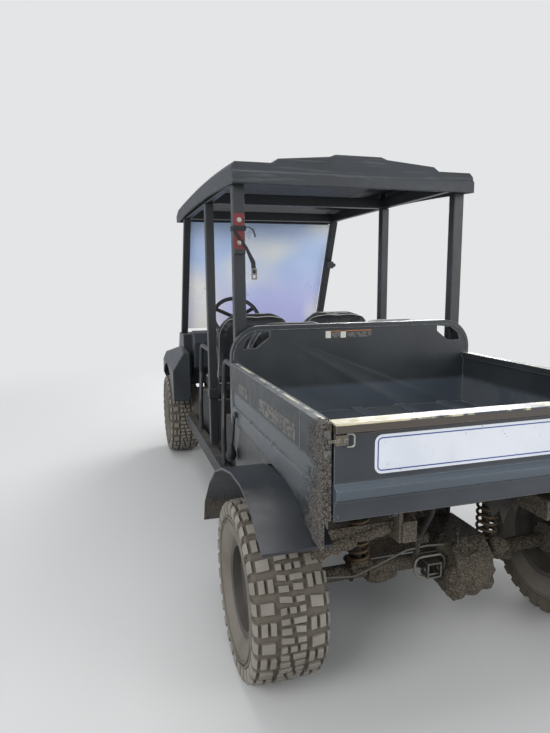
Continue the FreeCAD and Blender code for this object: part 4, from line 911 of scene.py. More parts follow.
def merged_copy(node: bpy.types.Object, name: str, flat: float = 1.0) -> bpy.types.Object:
    """A copy of a node's mesh with its corners joined and its flat facets made one face each.

    Args:
        node: The model's node.
        name: The copy's name.
        flat: Facets that turn less than this many degrees are one face.

    Returns:
        The new object, which rides on nothing yet.
    """
    mesh = bpy.data.meshes.new(name)
    with edited(mesh, node.data) as work:
        bmesh.ops.remove_doubles(work, verts=work.verts, dist=SAME_POINT)
        bmesh.ops.dissolve_limit(work, angle_limit=math.radians(flat), verts=work.verts, edges=work.edges)
    return put(name, mesh)


@dataclass
class Frame:
    """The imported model: its nodes by name, the body each rides on and its material slot."""

    nodes: dict[str, bpy.types.Object]
    body_of: dict[str, str]
    slot_of: dict[str, str]

    @classmethod
    def load(cls) -> Frame:
        """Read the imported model."""
        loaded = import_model()
        record = loaded["record"]
        body_of = {n: b for b, names in record["behaviour"]["bodies"].items() for n in names}
        slot_of = {row["node"]: row["material_slot"] for row in record["subparts"]}
        return cls(loaded["nodes"], body_of, slot_of)

    def dress(self, name: str, coat: Coat | Clear) -> None:
        """Give a node its finish as it stands."""
        node = self.nodes[name]
        node.data.materials.clear()
        node.data.materials.append(finish_of(coat))

    def rounded_copy(self, name: str, coat: Coat | Clear, bevel: float, segments: int = 2,
                     angle: float = 30.0) -> bpy.types.Object:
        """Stand a copy with rounded edges in a node's place.

        Args:
            name: The node.
            coat: Its finish.
            bevel: Rounding in metres.
            segments: Faces across each rounding.
            angle: Edges sharper than this many degrees are rounded.

        Returns:
            The copy.
        """
        piece = merged_copy(self.nodes[name], f"{name}_look")
        piece.data.materials.append(finish_of(coat))
        finish_mesh(piece, bevel, segments, angle)
        return settle(piece, self.body_of[name], (name,))


class Slot(Enum):
    """The record's material slots."""

    FRAME = "frame_paint"
    CAB = "cab_paint"
    BED = "bed_paint"
    GRIP = "grip_plastic"
    VINYL = "seat_vinyl"
    LAMP = "lamp_lens"
    WEBBING = "webbing"
    TYRE = "tyre_rubber"
    RIM = "rim_paint"
    CAST = "muddy_cast_metal"
    STEEL = "bare_steel"


UP = (0.0, 0.0, 1.0)
BACK = (0.0, 1.0, 0.0)
ACROSS = (1.0, 0.0, 0.0)

# Powder coated steel: an even satin skin that greys with dust and is muddy low down.
FRAME_PAINT = Coat("powder_coated_frame", "24272a", "1a1c1e", roughness=0.5, dust="6b6458", dust_share=0.3,
                   mud="463e34", mud_along=(0.0, 0.5, -1.0), mud_share=0.38, mud_start=-0.9, mud_end=0.25,
                   grain=1.5, grain_depth=0.05, worn="6a6862", worn_radius=2.0)
# The hitch receiver: the same paint, rubbed to bare steel round its mouth.
RECEIVER = Coat("worn_receiver", "2b2a28", "1f1e1d", roughness=0.5, dust="6b6458", dust_share=0.3,
                mud="564d41", mud_share=0.35, mud_start=-0.6, mud_end=-0.1, grain=1.5, grain_depth=0.1,
                worn="aaa69c", worn_radius=3.5)
# The cab's tubes: black powder coat, its edges rubbed pale by boots and belts.
CAB_PAINT = Coat("powder_coated_posts", "25282b", "1d2022", roughness=0.42, dust="7a756c", dust_share=0.14,
                 mud="5d5548", mud_share=0.2, mud_start=-0.75, mud_end=-0.35, grain=1.5, grain_depth=0.04,
                 worn="85868a", worn_radius=2.0)
# Painted sheet steel of the bed: dark slate with a painted reflection of the sky, blue-grey, on its
# side below the crease, its rims' edges rubbed to bare bright metal by loads, grey and pale bands on its
# top edges with a painted highlight in a thin pale cream line along each side rim's top, and mud thrown
# up by the tyre dried on its rear edge.
BED_PAINT = Coat("painted_bed_steel", "2a2e31", "1f2326", roughness=0.44, dust="67625a", dust_share=0.10,
                 mud="4a4541", mud_pit="211e1d", mud_along=(0.0, 0.86, -0.30), mud_start=1.16, mud_end=1.47,
                 mud_share=0.62, mud_depth=8.0, grain=4.2, grain_depth=0.04, worn="9fa3a5",
                 worn_radius=2.2, bands=(
                     # Painted reflection of the sky: a blue-grey band on the side below the crease.
                     Band("4b545d", UP, 0.770, 0.905, share=0.55, ragged=3.0, soft=14.0, roughness=0.34),
                     Band("6f6e69", UP, 0.740, 0.900, share=0.30, ragged=14.0, soft=34.0, patchy=0.20,
                          roughness=0.7, within=(0.600, 0.660)),
                     Band("6d7072", UP, 1.0305, 1.045, share=0.7, ragged=1.0, soft=1.0, patchy=0.15,
                          top=True),
                     # Painted highlight: a thin pale cream line, in patches, along the top of each side rim.
                     Band("d9d3b6", UP, 1.0305, 1.045, share=0.95, ragged=1.5, soft=1.0, patchy=0.42,
                          roughness=0.3, within=(0.607, 0.6165), top=True),
                     Band("c0c2bd", UP, 1.2035, 1.215, share=0.9, ragged=1.0, soft=1.0, patchy=0.25,
                          roughness=0.36, top=True)))
# The tailgate: the same paint, with a painted highlight in patchy pale cream on its top rail above a dark
# brown strip, a painted reflection of the sky in blue-grey on its pressed ridge, and its lower corner dusty.
GATE_PAINT = Coat("painted_tailgate", "32373d", "282c31", roughness=0.38, dust="6f695f", dust_share=0.10,
                  mud="6a6255", mud_along=(0.25, 0.0, -1.0), mud_start=-0.72, mud_end=-0.52, mud_share=0.42,
                  mud_depth=1.5, grain=1.2, grain_depth=0.04, worn="8f9498", worn_radius=2.2, bands=(
                      # Painted reflection of the sky: a blue-grey band on the pressed ridge.
                      Band("525c66", UP, 0.806, 0.862, share=0.5, ragged=1.0, soft=8.0, roughness=0.34),
                      # A dark brown strip on the face of the top rail, under its top.
                      Band("453c33", UP, 0.998, 1.027, share=0.85, ragged=2.0, soft=2.5, roughness=0.5),
                      # Painted highlight: patchy pale cream along the top rail.
                      Band("c8bf9f", UP, 1.0285, 1.045, share=0.92, ragged=1.0, soft=1.2, patchy=0.30,
                           roughness=0.30)))
# Moulded polyethylene: fine leathery grain, a broad soft sheen, and mud where the tyre throws it.
MOULDED = Coat("moulded_polyethylene", "2d3136", "23262a", roughness=0.42, dust="6d675d", dust_share=0.14,
               mud="5d5549", mud_share=0.3, mud_start=-0.7, mud_end=-0.2, grain=0.9, grain_depth=0.1,
               edge_radius=14.0)
# The rear fenders: the same plastic, wiped smooth and dark, muddy at the foot ahead of the tyre.
FENDER = Coat("moulded_fender", "25282c", "1e2124", roughness=0.36, dust="5f5a52", dust_share=0.06,
              mud="57514a", mud_share=0.25, mud_start=-0.62, mud_end=-0.40, grain=0.9, grain_depth=0.05)
# The roof: the same plastic, drawn thin, with pale scratches across it from branches.
ROOF_PLASTIC = Coat("moulded_roof", "282c30", "202326", roughness=0.50, dust="7f8385", dust_share=0.05,
                    grain=0.9, grain_depth=0.05, edge_radius=10.0, streaks=0.18,
                    streak_scale=(0.05, 1.0, 1.0))
FLOOR_PLASTIC = Coat("moulded_floor", "2b2b2b", "222222", roughness=0.6, dust="6f675b", dust_share=0.5,
                     mud="5f574b", mud_share=0.4, mud_start=-0.55, mud_end=-0.3, grain=1.2, grain_depth=0.12)
# Soft grips: rubbery black that shows skin oil as a low sheen.
GRIP_PLASTIC = Coat("soft_grip", "1d1e1f", "161718", roughness=0.5, dust_share=0.12, grain=0.8,
                    grain_depth=0.06)
# Seat vinyl: a leathery grain of about a millimetre, dusty on top.
VINYL = Coat("seat_vinyl", "232528", "1b1d1f", roughness=0.5, dust="605c55", dust_share=0.12, grain=1.1,
             grain_depth=0.16)
# Pale plastic cord sewn into the seats' seams.
PIPING = Coat("seat_piping", "a9a8a2", "8a8984", roughness=0.5, dust_share=0.2, grain=0.8, grain_depth=0.05)
# Red enamel, faded and chipped pale at its edges.
RED_PAINT = Coat("red_bracket_paint", "6d1b1f", "5b1619", roughness=0.5, dust="6d625a", dust_share=0.15,
                 grain=1.2, grain_depth=0.03, worn="b0938b", worn_radius=1.5)
# Woven webbing: crossing threads of 1.4 mm that scatter light.
WEBBING = Coat("woven_webbing", "232425", "1a1a1b", roughness=0.8, dust="8a857b", dust_share=0.3, grain=1.4,
               grain_depth=0.35)
# Tyre rubber: pale worn lug tops, earth packed in the grooves and a dusty brown side wall.
TYRE = Coat("tyre_rubber", "827d75", "67625a", roughness=0.85, dust="534c42", dust_share=0.02, grain=1.6,
            grain_depth=0.25, depth_attribute=True, worn="a19b8f", worn_radius=2.0)
# Painted steel wheels under road dust.
RIM = Coat("dusty_rim", "45423d", "34322e", roughness=0.65, dust="635b50", dust_share=0.35, grain=1.4,
           grain_depth=0.1)
# Cast iron and steel under thick dried mud, dark where it is damp or has fallen away.
CAST = Coat("muddy_cast_iron", "302d28", "201e1b", roughness=0.75, dust="6a6153", dust_share=0.22,
            mud="4c443a", mud_pit="25221d", mud_share=0.60, mud_start=-0.8, mud_end=-0.15, mud_depth=10.0,
            grain=3.5, grain_depth=0.6)
# Earth packed hard round the axle: pebbly, dark where damp, pale and dusty where dry.
PACKED_MUD = Coat("packed_mud", "40392f", "2e2922", roughness=0.9, dust="6f6657", dust_share=0.3,
                  mud="4e463a", mud_pit="2d2a24", mud_share=1.6, mud_start=-0.9, mud_end=0.0,
                  mud_depth=10.0, grain=4.0, grain_depth=0.8)
# Zinc plated and bare steel: bright metal with fine drawn grain.
STEEL = Coat("bare_steel", "b9b8b2", "96958e", roughness=0.34, metallic=0.9, dust_share=0.12, grain=1.0,
             grain_depth=0.02)
LATCH_STEEL = Coat("latch_steel", "7c776c", "5f5a50", roughness=0.45, metallic=0.6, dust="6d6457",
                   dust_share=0.25, grain=1.0, grain_depth=0.05, worn="c9c6bb", worn_radius=1.5)
# Spring steel with flash rust.
SPRING_STEEL = Coat("rusty_spring", "5d4c38", "41372b", roughness=0.6, metallic=0.35, dust="7a6a52",
                    dust_share=0.3, grain=1.5, grain_depth=0.12)
EXHAUST = Coat("exhaust_steel", "5c4d40", "463c33", roughness=0.6, metallic=0.6, dust_share=0.45, grain=2.0,
               grain_depth=0.1)
# Nylon line jacket, bleached and dusty.
LINE_JACKET = Coat("line_jacket", "605e58", "504e49", roughness=0.6, dust_share=0.4, grain=1.0,
                   grain_depth=0.03)
# Vinyl sign on the tailgate, left blank: white with flecks of dried mud, and a blue keyline.
PLATE_WHITE = Coat("sign_white", "cfd2d8", "c3c7ce", roughness=0.34, dust="8d857a", dust_share=0.06,
                   grain=1.5, grain_depth=0.02, specks="6b675f", speck_share=-0.02)
PLATE_BLUE = Coat("sign_blue_line", "2d4687", "284079", roughness=0.4, dust_share=0.06, grain=1.5,
                  grain_depth=0.02)
# Old labels, left blank: faded film with dirt in its scuffs.
OLD_PATCH = Coat("faded_label", "62625f", "50504d", roughness=0.6, dust="4a463f", dust_share=0.3, grain=1.5,
                 grain_depth=0.08, specks="383734", speck_share=0.17)
LABEL_WHITE = Coat("label_white", "c9c7bd", "b9b7ad", roughness=0.5, dust_share=0.1, grain=1.5,
                   grain_depth=0.02, specks="8b877c", speck_share=0.05)
LABEL_ORANGE = Coat("label_orange", "a8673a", "94572f", roughness=0.5, dust_share=0.15, grain=1.5,
                    grain_depth=0.02)
CHROME = Coat("lamp_reflector", "d8dadc", "c8cacc", roughness=0.12, metallic=1.0, dust_share=0.05, grain=2.0,
              grain_depth=0.01)
# Polycarbonate screen, crazed and dusty, that glows with the light behind it in painted colours: a
# painted backdrop seen through it in blue, lilac low down, and cream clouds of painted glare.
PANE = Clear("hazy_polycarbonate", "dde5f2", "cad8ee", haze=0.84, roughness=0.3, low_colour="cfd1ed",
             warm_colour="f1efe8", area=0.5)
LENS = Clear("lamp_lens", "f2f5f8", "d6dade", haze=0.12, roughness=0.06)

# Nodes that are dressed as they stand.
PLAIN_NODES = {
    "frame": FRAME_PAINT, "front_grille": MOULDED, "floor_pan": FLOOR_PLASTIC, "seat_bases": FLOOR_PLASTIC,
    "rear_bulkhead": FLOOR_PLASTIC, "hip_restraints": CAB_PAINT, "bracket_strap": WEBBING,
    "steering_wheel": GRIP_PLASTIC, "steering_column": GRIP_PLASTIC, "pedals": FRAME_PAINT,
    "front_arms": FRAME_PAINT, "front_shocks": FRAME_PAINT, "front_drive": CAST, "knuckle_left": CAST,
    "knuckle_right": CAST, "rack_housing": CAST, "tie_rods": STEEL, "rear_axle": CAST, "transaxle": CAST,
    "engine": CAST, "muffler": EXHAUST, "rear_brake_line": LINE_JACKET, "front_bumper": FRAME_PAINT,
    **{f"rim_{end}_{side}": RIM for end in ("front", "rear") for side in ("left", "right")},
    "windshield": PANE,
}
# Nodes that get rounded edges: the finish, and the rounding in millimetres.
ROUNDED_NODES = {
    "bed_tub": (BED_PAINT, 4.0), "tailgate_panel": (GATE_PAINT, 4.0), "front_cowl": (MOULDED, 14.0),
    "dash": (MOULDED, 7.0), "cab_posts": (CAB_PAINT, 5.0), "roof_rails": (CAB_PAINT, 5.0),
    "bed_fenders": (FENDER, 2.5), "bracket": (RED_PAINT, 1.5), "hitch_receiver": (RECEIVER, 2.0),
}


@dataclass
class Tyre:
    """An all terrain tyre: a carcass turned about X, and tread blocks that stand on its crown.

    Sizes are in metres. Rows of BLOCKS are side to side start and end, start and end round the
    tyre as shares of a pitch, and 1 where the block stands in every second pitch only (0 where in
    the others, -1 in all).
    """

    half: float
    radius: float = 0.3175
    bead: float = 0.1526
    pitches: int = 30
    depth: float = 0.013

    BLOCKS = (
        (0.91, 1.33, 0.14, 0.72, -1), (0.43, 0.57, 0.10, 0.72, 0), (0.66, 0.81, 0.12, 0.74, 0),
        (0.47, 0.79, 0.14, 0.68, 1), (-0.31, -0.06, 0.06, 0.37, 0), (0.06, 0.31, 0.04, 0.35, 0),
        (-0.32, 0.00, 0.54, 0.83, 0), (0.10, 0.31, 0.55, 0.83, 0), (-0.32, -0.17, 0.05, 0.36, 1),
        (-0.08, 0.08, 0.04, 0.34, 1), (0.17, 0.32, 0.05, 0.36, 1), (-0.31, -0.10, 0.53, 0.81, 1),
        (0.0, 0.31, 0.55, 0.84, 1),
    )

    def outer(self, share: np.ndarray) -> tuple[np.ndarray, np.ndarray]:
        """The line over the blocks' tops: a flat crown to share 0.8, then an arc round the shoulder.

        Args:
            share: 0 in the middle, 1 at the shoulder's outermost point, and more down the side.

        Returns:
            Distance from the middle and radius.
        """
        size = np.abs(share)
        crown = np.minimum(size, 0.8)
        turn = np.clip((size - 0.8) / 0.2, 0, None) * math.radians(60)
        bend = 0.024
        x = crown / 0.8 * (self.half - bend) + bend * np.sin(np.minimum(turn, math.pi / 2))
        drop = 0.004 * (crown / 0.8) ** 2 + bend * (1 - np.cos(np.minimum(turn, math.pi / 2)))
        beyond = np.clip(turn - math.pi / 2, 0, None) * bend
        return np.sign(share) * (x - beyond * 0.12), self.radius - drop - beyond

    def blocks(self) -> Shape:
        """Every tread block: a top of 5 by 3 points that narrows a little, and walls down to the carcass."""
        rows = []
        for start, end, first, last, which in self.BLOCKS:
            on_side = start >= 0.4
            for number in range(self.pitches):
                for side in ((1, -1) if on_side else (1,)):
                    if which in (-1, number % 2):
                        rows.append((start * side, end * side, number + first, number + last))
        start, end, first, last = np.array(rows).T
        pitch = 2 * math.pi / self.pitches
        across = np.linspace(0, 1, 5)[None, :, None]
        along = np.linspace(0, 1, 3)[None, None, :]
        share = start[:, None, None] + (end - start)[:, None, None] * across
        turn = (first[:, None, None] + (last - first)[:, None, None] * along) * pitch
        share, turn = np.broadcast_arrays(share, turn)
        centre = np.stack([share.mean(axis=(1, 2)), turn.mean(axis=(1, 2)) * 9, share[:, 0, 0]], axis=1)
        uneven = value_noise(centre, 0.05, 4)[:, None, None]
        skew = (share - share.mean(axis=(1, 2), keepdims=True)) * uneven * 0.09
        return self._stand(share + uneven * 0.012, turn + skew + uneven * 0.006)

    def _stand(self, share: np.ndarray, turn: np.ndarray) -> Shape:
        """Blocks from their tops' places: arrays of block, across and along.

        Args:
            share: Places from side to side, as outer takes them.
            turn: Angles round the tyre.

        Returns:
            The mesh of all blocks.
        """
        count, wide, long = share.shape
        x, radius = self.outer(share)
        middle_s, middle_t = share.mean(axis=(1, 2), keepdims=True), turn.mean(axis=(1, 2), keepdims=True)
        foot_share = middle_s + (share - middle_s) * 1.06
        foot_turn = middle_t + (turn - middle_t) * 1.10
        foot_x, foot_radius = self.outer(foot_share)
        slope = np.clip((np.abs(foot_share) - 0.8) / 0.3, 0, 1)
        foot_radius = foot_radius - self.depth * (1 - 0.75 * slope)
        foot_x = foot_x - np.sign(foot_share) * 0.010 * slope
        tops = np.stack([x, radius * np.cos(turn), radius * np.sin(turn)], axis=-1)
        feet = np.stack([foot_x, foot_radius * np.cos(foot_turn), foot_radius * np.sin(foot_turn)], axis=-1)
        index = np.arange(wide * long).reshape(wide, long)
        edge = np.concatenate([index[:-1, 0], index[-1, :-1], index[:0:-1, -1], index[0, :0:-1]])
        rim = feet.reshape(count, wide * long, 3)[:, edge]
        points = np.concatenate([tops.reshape(count, wide * long, 3), rim], axis=1)
        each = points.shape[1]
        quads = np.stack([index[:-1, :-1], index[1:, :-1], index[1:, 1:], index[:-1, 1:]], -1).reshape(-1, 4)
        low = wide * long + np.arange(len(edge))
        walls = np.stack([edge, low, np.roll(low, -1), np.roll(edge, -1)], axis=-1)
        one = np.concatenate([quads, walls])
        every = one[None] + each * np.arange(count)[:, None, None]
        mirrored = share[:, -1, 0] < share[:, 0, 0]
        every[mirrored] = every[mirrored][..., ::-1]
        return Shape(points.reshape(-1, 3), [every.reshape(-1, 4)])

    def carcass(self) -> Shape:
        """The tyre under its blocks, from bead to bead outside and back inside."""
        share = np.concatenate([np.linspace(0, 0.8, 8), np.linspace(0.84, 1.36, 10)])
        x, radius = self.outer(share)
        slope = np.clip((share - 0.8) / 0.3, 0, 1)
        x, radius = x - 0.010 * slope, radius - self.depth * (1 - 0.75 * slope)
        # How far in from the widest place, and the radius, down the side and back up inside.
        wall = np.array([[0.004, 0.235], [0.006, 0.215], [0.012, 0.195], [0.022, 0.178], [0.033, 0.170],
                         [0.036, self.bead], [0.052, self.bead], [0.05, 0.165], [0.02, 0.22], [0.022, 0.27],
                         [0.06, 0.288], [self.half, 0.290]])
        wall[:, 0] = self.half - wall[:, 0]
        right = np.concatenate([np.stack([x, radius], axis=1), wall])
        left = right[1:-1][::-1] * np.array([-1, 1])
        profile = np.concatenate([right, left])
        return revolve(profile[::-1], 120)

    def ribs(self) -> Shape:
        """Two raised rings on each side wall."""
        section = np.array([[-0.004, 0.243], [0.0, 0.241], [0.0, 0.238], [-0.004, 0.236]])
        rings = [revolve(section + np.array([self.half, out]), 120) for out in (0.0, 0.014)]
        return join(rings).both_sides()


@dataclass
class Roof:
    """The roof's shell bowed up along its length, and the pads it stands on.

    The rim rises by rise * (1 - ((y - middle) / reach) ** 2), with one reach behind the middle and a
    longer one ahead of it. The rise fades out between the rim's top and the crown, which stays level.
    """

    frame: Frame
    rise: float = 0.036
    middle: float = -0.30
    reach: tuple[float, float] = (1.09, 1.70)
    rim_top: float = 1.934
    step: float = 0.09
    bevel: float = 0.007

    def build(self) -> None:
        """Make the bowed shell, cut across every step so that it can bend, and its pads."""
        piece = merged_copy(self.frame.nodes["roof"], "roof_look")
        low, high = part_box("roof")
        with edited(piece.data) as work:
            for place in np.arange(low.y + self.step, high.y - 0.04, self.step):
                bmesh.ops.bisect_plane(work, geom=work.verts[:] + work.edges[:] + work.faces[:],
                                       plane_co=(0.0, place, 0.0), plane_no=BACK)
            for vertex in work.verts:
                fade = 1 - min(max((vertex.co.z - self.rim_top) / (high.z - self.rim_top), 0.0), 1.0)
                vertex.co.z += self.lift(vertex.co.y) * fade
        piece.data.materials.append(finish_of(ROOF_PLASTIC))
        finish_mesh(piece, self.bevel, 4, 30.0)
        settle(piece, self.frame.body_of["roof"], ("roof",))
        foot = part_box("roof_rails")[1].z
        pads = [block((0.540, y - 0.015, foot), (0.570, y + 0.015, foot + self.lift(y)))
                for y in (-0.078, 0.30, -0.55)]
        add_piece("roof_pads", join(pads).both_sides(), CAB_PAINT, "chassis", bevel=1.0 * MM)

    def lift(self, y: float) -> float:
        """How far the rim stands above its level line at a place along the roof."""
        away = (y - self.middle) / self.reach[0 if y > self.middle else 1]
        return self.rise * (1 - away * away)


@dataclass
class Wheels:
    """The four tyres with their tread, and the bolts and cap on each wheel disc."""

    frame: Frame
    nuts: int = 4
    nut_circle: float = 0.055

    def build(self) -> None:
        """Make and place the tyres."""
        for end in ("front", "rear"):
            low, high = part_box(f"tyre_{end}_left")
            half = (high.x - low.x) / 2
            tyre = Tyre(half - 0.0005)
            centre = Vector((low + high) / 2)
            shape = tyre.carcass() + tyre.blocks() + tyre.ribs()
            for side in ("left", "right"):
                place = shape.moved(centre.x, centre.y, centre.z)
                if side == "right":
                    place = place.mirrored()
                piece = add_piece(f"tread_{end}_{side}", place, TYRE, f"wheel_{end}_{side}",
                                  bevel=1.6 * MM, segments=1, angle=40, replaces=(f"tyre_{end}_{side}",),
                                  closed=False)
                self._mark_grooves(piece, centre, tyre)
            self._hub(end, centre)

    def _mark_grooves(self, piece: bpy.types.Object, centre: Vector, tyre: Tyre) -> None:
        """Store how deep each point lies below the tread's top, from 0 to 1, for the dust in the grooves.

        Args:
            piece: The tyre's object.
            centre: The wheel's middle.
            tyre: Its sizes.
        """
        mesh = piece.data
        points = corners_of(mesh)
        radius = np.hypot(points[:, 1] - centre.y, points[:, 2] - centre.z)
        across = np.abs(points[:, 0] - centre.x)
        line_x, line_radius = tyre.outer(np.linspace(0, 1.36, 120))
        gap = np.hypot(across[:, None] - line_x[None], radius[:, None] - line_radius[None]).min(axis=1)
        depth = np.where(radius > line_radius[-1], np.clip((gap - 0.001) / 0.007, 0, 1), 0.6)
        attribute = mesh.attributes.new("groove", "FLOAT", "POINT")
        attribute.data.foreach_set("value", depth.astype(np.float32))

    def _hub(self, end: str, centre: Vector) -> None:
        """A cap and four nuts on each wheel disc.

        Args:
            end: The vehicle's end, front or rear.
            centre: The left wheel's middle.
        """
        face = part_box("knuckle_left" if end == "front" else "rear_axle")[1].x
        turn = np.arange(self.nuts) * 2 * math.pi / self.nuts + 0.4
        profile = np.array([[0.016, 0.0], [0.012, 0.03], [0.004, 0.036], [-0.02, 0.036], [-0.02, 0.0]])
        cap = revolve(profile, 32, (face, centre.y, centre.z))
        nuts = [bolt_head((face - 0.018, centre.y + self.nut_circle * math.cos(a),
                           centre.z + self.nut_circle * math.sin(a)), 0.010, 0.016, Axis.X) for a in turn]
        shape = join([cap, *nuts])
        for side in ("left", "right"):
            place = shape if side == "left" else shape.mirrored()
            add_piece(f"hub_{end}_{side}", place, RIM, f"wheel_{end}_{side}", bevel=1.0 * MM)


@dataclass
class Tailgate:
    """What the tailgate carries: a blank sign with a keyline, latch plates with bolts, and ring bails."""

    frame: Frame
    sign_half: float = 0.481
    sign_low: float = 0.878
    sign_high: float = 0.991
    sign_corner: float = 0.022
    line_inset: float = 0.008
    line_wide: float = 0.0035
    plate_in: float = 0.562
    plate_out: float = 0.6
    bead: float = 0.020

    def build(self) -> None:
        """Make the pieces on the tailgate's outer face."""
        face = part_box("tailgate_panel")[1].y - self.bead
        middle, half_tall = (self.sign_low + self.sign_high) / 2, (self.sign_high - self.sign_low) / 2
        place = np.array([0.0, middle])
        sign = rounded_rectangle(self.sign_half, half_tall, self.sign_corner) + place
        add_piece("tailgate_sign", slab(sign, face + 0.0002, face + 0.0014, Axis.Y), PLATE_WHITE, "tailgate")
        edges = [rounded_rectangle(self.sign_half - inset, half_tall - inset, self.sign_corner - inset)
                 + place for inset in (self.line_inset, self.line_inset + self.line_wide)]
        add_piece("tailgate_sign_line", ring_plate(*edges, face + 0.0012, face + 0.0018, Axis.Y), PLATE_BLUE,
                  "tailgate")
        self._latches(face)

    def _latches(self, face: float) -> None:
        """A pressed plate with two bolts at each top corner, and the bright ring that pulls it.

        Args:
            face: Where the tailgate's outer face lies along Y.
        """
        middle = np.array([(self.plate_in + self.plate_out) / 2, 0.985])
        outline = rounded_rectangle((self.plate_out - self.plate_in) / 2, 0.014, 0.004) + middle
        plate = slab(outline, face + 0.0003, face + 0.005, Axis.Y)
        bolts = [bolt_head((x, face + 0.005, middle[1]), 0.0045, 0.004, Axis.Y)
                 for x in (middle[0] - 0.010, middle[0] + 0.010)]
        tongue = block((self.plate_out - 0.006, face + 0.0003, middle[1] - 0.005),
                       (self.plate_out + 0.020, face + 0.004, middle[1] + 0.003))
        add_piece("latch_plates", join([plate, tongue, *bolts]).both_sides(), LATCH_STEEL, "tailgate",
                  bevel=0.6 * MM, replaces=("tailgate_latches",))
        high, low = (((self.plate_in + 0.006, face + 0.007, z), (self.plate_in - 0.014, face + 0.012, z))
                     for z in (middle[1] + 0.018, middle[1] - 0.018))
        bail = pipe(rounded([*high, *low[::-1]], 0.008), 0.0028, 10, up=BACK)
        add_piece("latch_bails", bail.both_sides(), STEEL, "tailgate")


@dataclass
class BedDetails:
    """Labels left blank, the headboard's bead, edge blocks, bolts and the tilt release's rod and grip."""

    frame: Frame

    # Blank labels on each side: start and end along Y, bottom and top.
    PATCHES = ((0.93, 1.09, 0.926, 0.972), (1.27, 1.70, 0.922, 0.976))
    # Blank labels on the headboard: start and end along X, bottom and top, and the finish.
    NOTICES = ((0.141, 0.168, 1.136, 1.170, LABEL_WHITE), (0.062, 0.090, 1.136, 1.170, LABEL_WHITE),
               (0.094, 0.137, 1.137, 1.166, OLD_PATCH), (-0.075, 0.137, 1.1665, 1.171, LABEL_ORANGE),
               (-0.075, 0.058, 1.137, 1.162, OLD_PATCH))

    def build(self) -> None:
        """Make the pieces that ride on the bed."""
        low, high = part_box("bed_tub")
        side = high.x
        for number, (start, end, bottom, top) in enumerate(self.PATCHES):
            middle = np.array([(start + end) / 2, (bottom + top) / 2])
            outline = rounded_rectangle((end - start) / 2, (top - bottom) / 2, 0.004) + middle
            patch = slab(outline, side + 0.0001, side + 0.0007, Axis.X)
            add_piece(f"side_label_{number}", patch.both_sides(), OLD_PATCH, "bed")
        board = low.y + 0.028
        for number, (start, end, bottom, top, finish) in enumerate(self.NOTICES):
            made = block((start, board + 0.0001, bottom), (end, board + 0.0006, top))
            add_piece(f"headboard_label_{number}", made, finish, "bed")
        line = arch(side - 0.012, board, 1.05, high.z - 0.022)
        bead = pipe(rounded(line, 0.128, 14), 0.003, 8, up=BACK)
        add_piece("headboard_bead", bead, BED_PAINT, "bed")
        blocks = [block((side - 0.024, high.y, z), (side - 0.004, high.y + 0.006, z + 0.024))
                  for z in (0.99, 0.935)]
        add_piece("edge_blocks", join(blocks).both_sides(), OLD_PATCH, "bed", bevel=1.5 * MM)
        seams = [block((side - 0.001, y, 0.914), (side + 0.0008, y + 0.003, high.z - 0.180))
                 for y in (1.12, 1.74)]
        bolts = [bolt_head((side, y, 0.84), 0.006, 0.005, Axis.X) for y in (0.80, 1.12, 1.44)]
        add_piece("side_bolts", join(seams + bolts).both_sides(), BED_PAINT, "bed")
        self._release(side)

    def _release(self, side: float) -> None:
        """The tilt release: a bent rod on the left side with a pear shaped grip at its foot.

        Args:
            side: Where the bed's side lies along X.
        """
        line = [(side + 0.012, 0.880, 0.816), (side + 0.012, 0.836, 0.700), (side + 0.014, 0.800, 0.612)]
        rod = pipe(rounded(line, 0.06), 0.006, 12, up=ACROSS)
        ear = block((side + 0.0005, 0.868, 0.806), (side + 0.014, 0.892, 0.830))
        pin = bolt_head((side + 0.014, 0.880, 0.818), 0.007, 0.006, Axis.X)
        add_piece("release_rod", join([rod, ear, pin]), CAB_PAINT, "bed", bevel=0.8 * MM,
                  replaces=("bed_release_handle",))
        share = np.linspace(0, 1, 14)
        start, end = np.array([side + 0.014, 0.822, 0.664]), np.array([side + 0.014, 0.792, 0.578])
        path = start + (end - start) * share[:, None]
        radii = 0.008 + 0.016 * np.sin(share ** 1.6 * math.pi) + 0.003 * share
        radii[-1] = 0.002
        add_piece("release_grip", tapered(path, radii, up=ACROSS), GRIP_PLASTIC, "bed", angle=60)


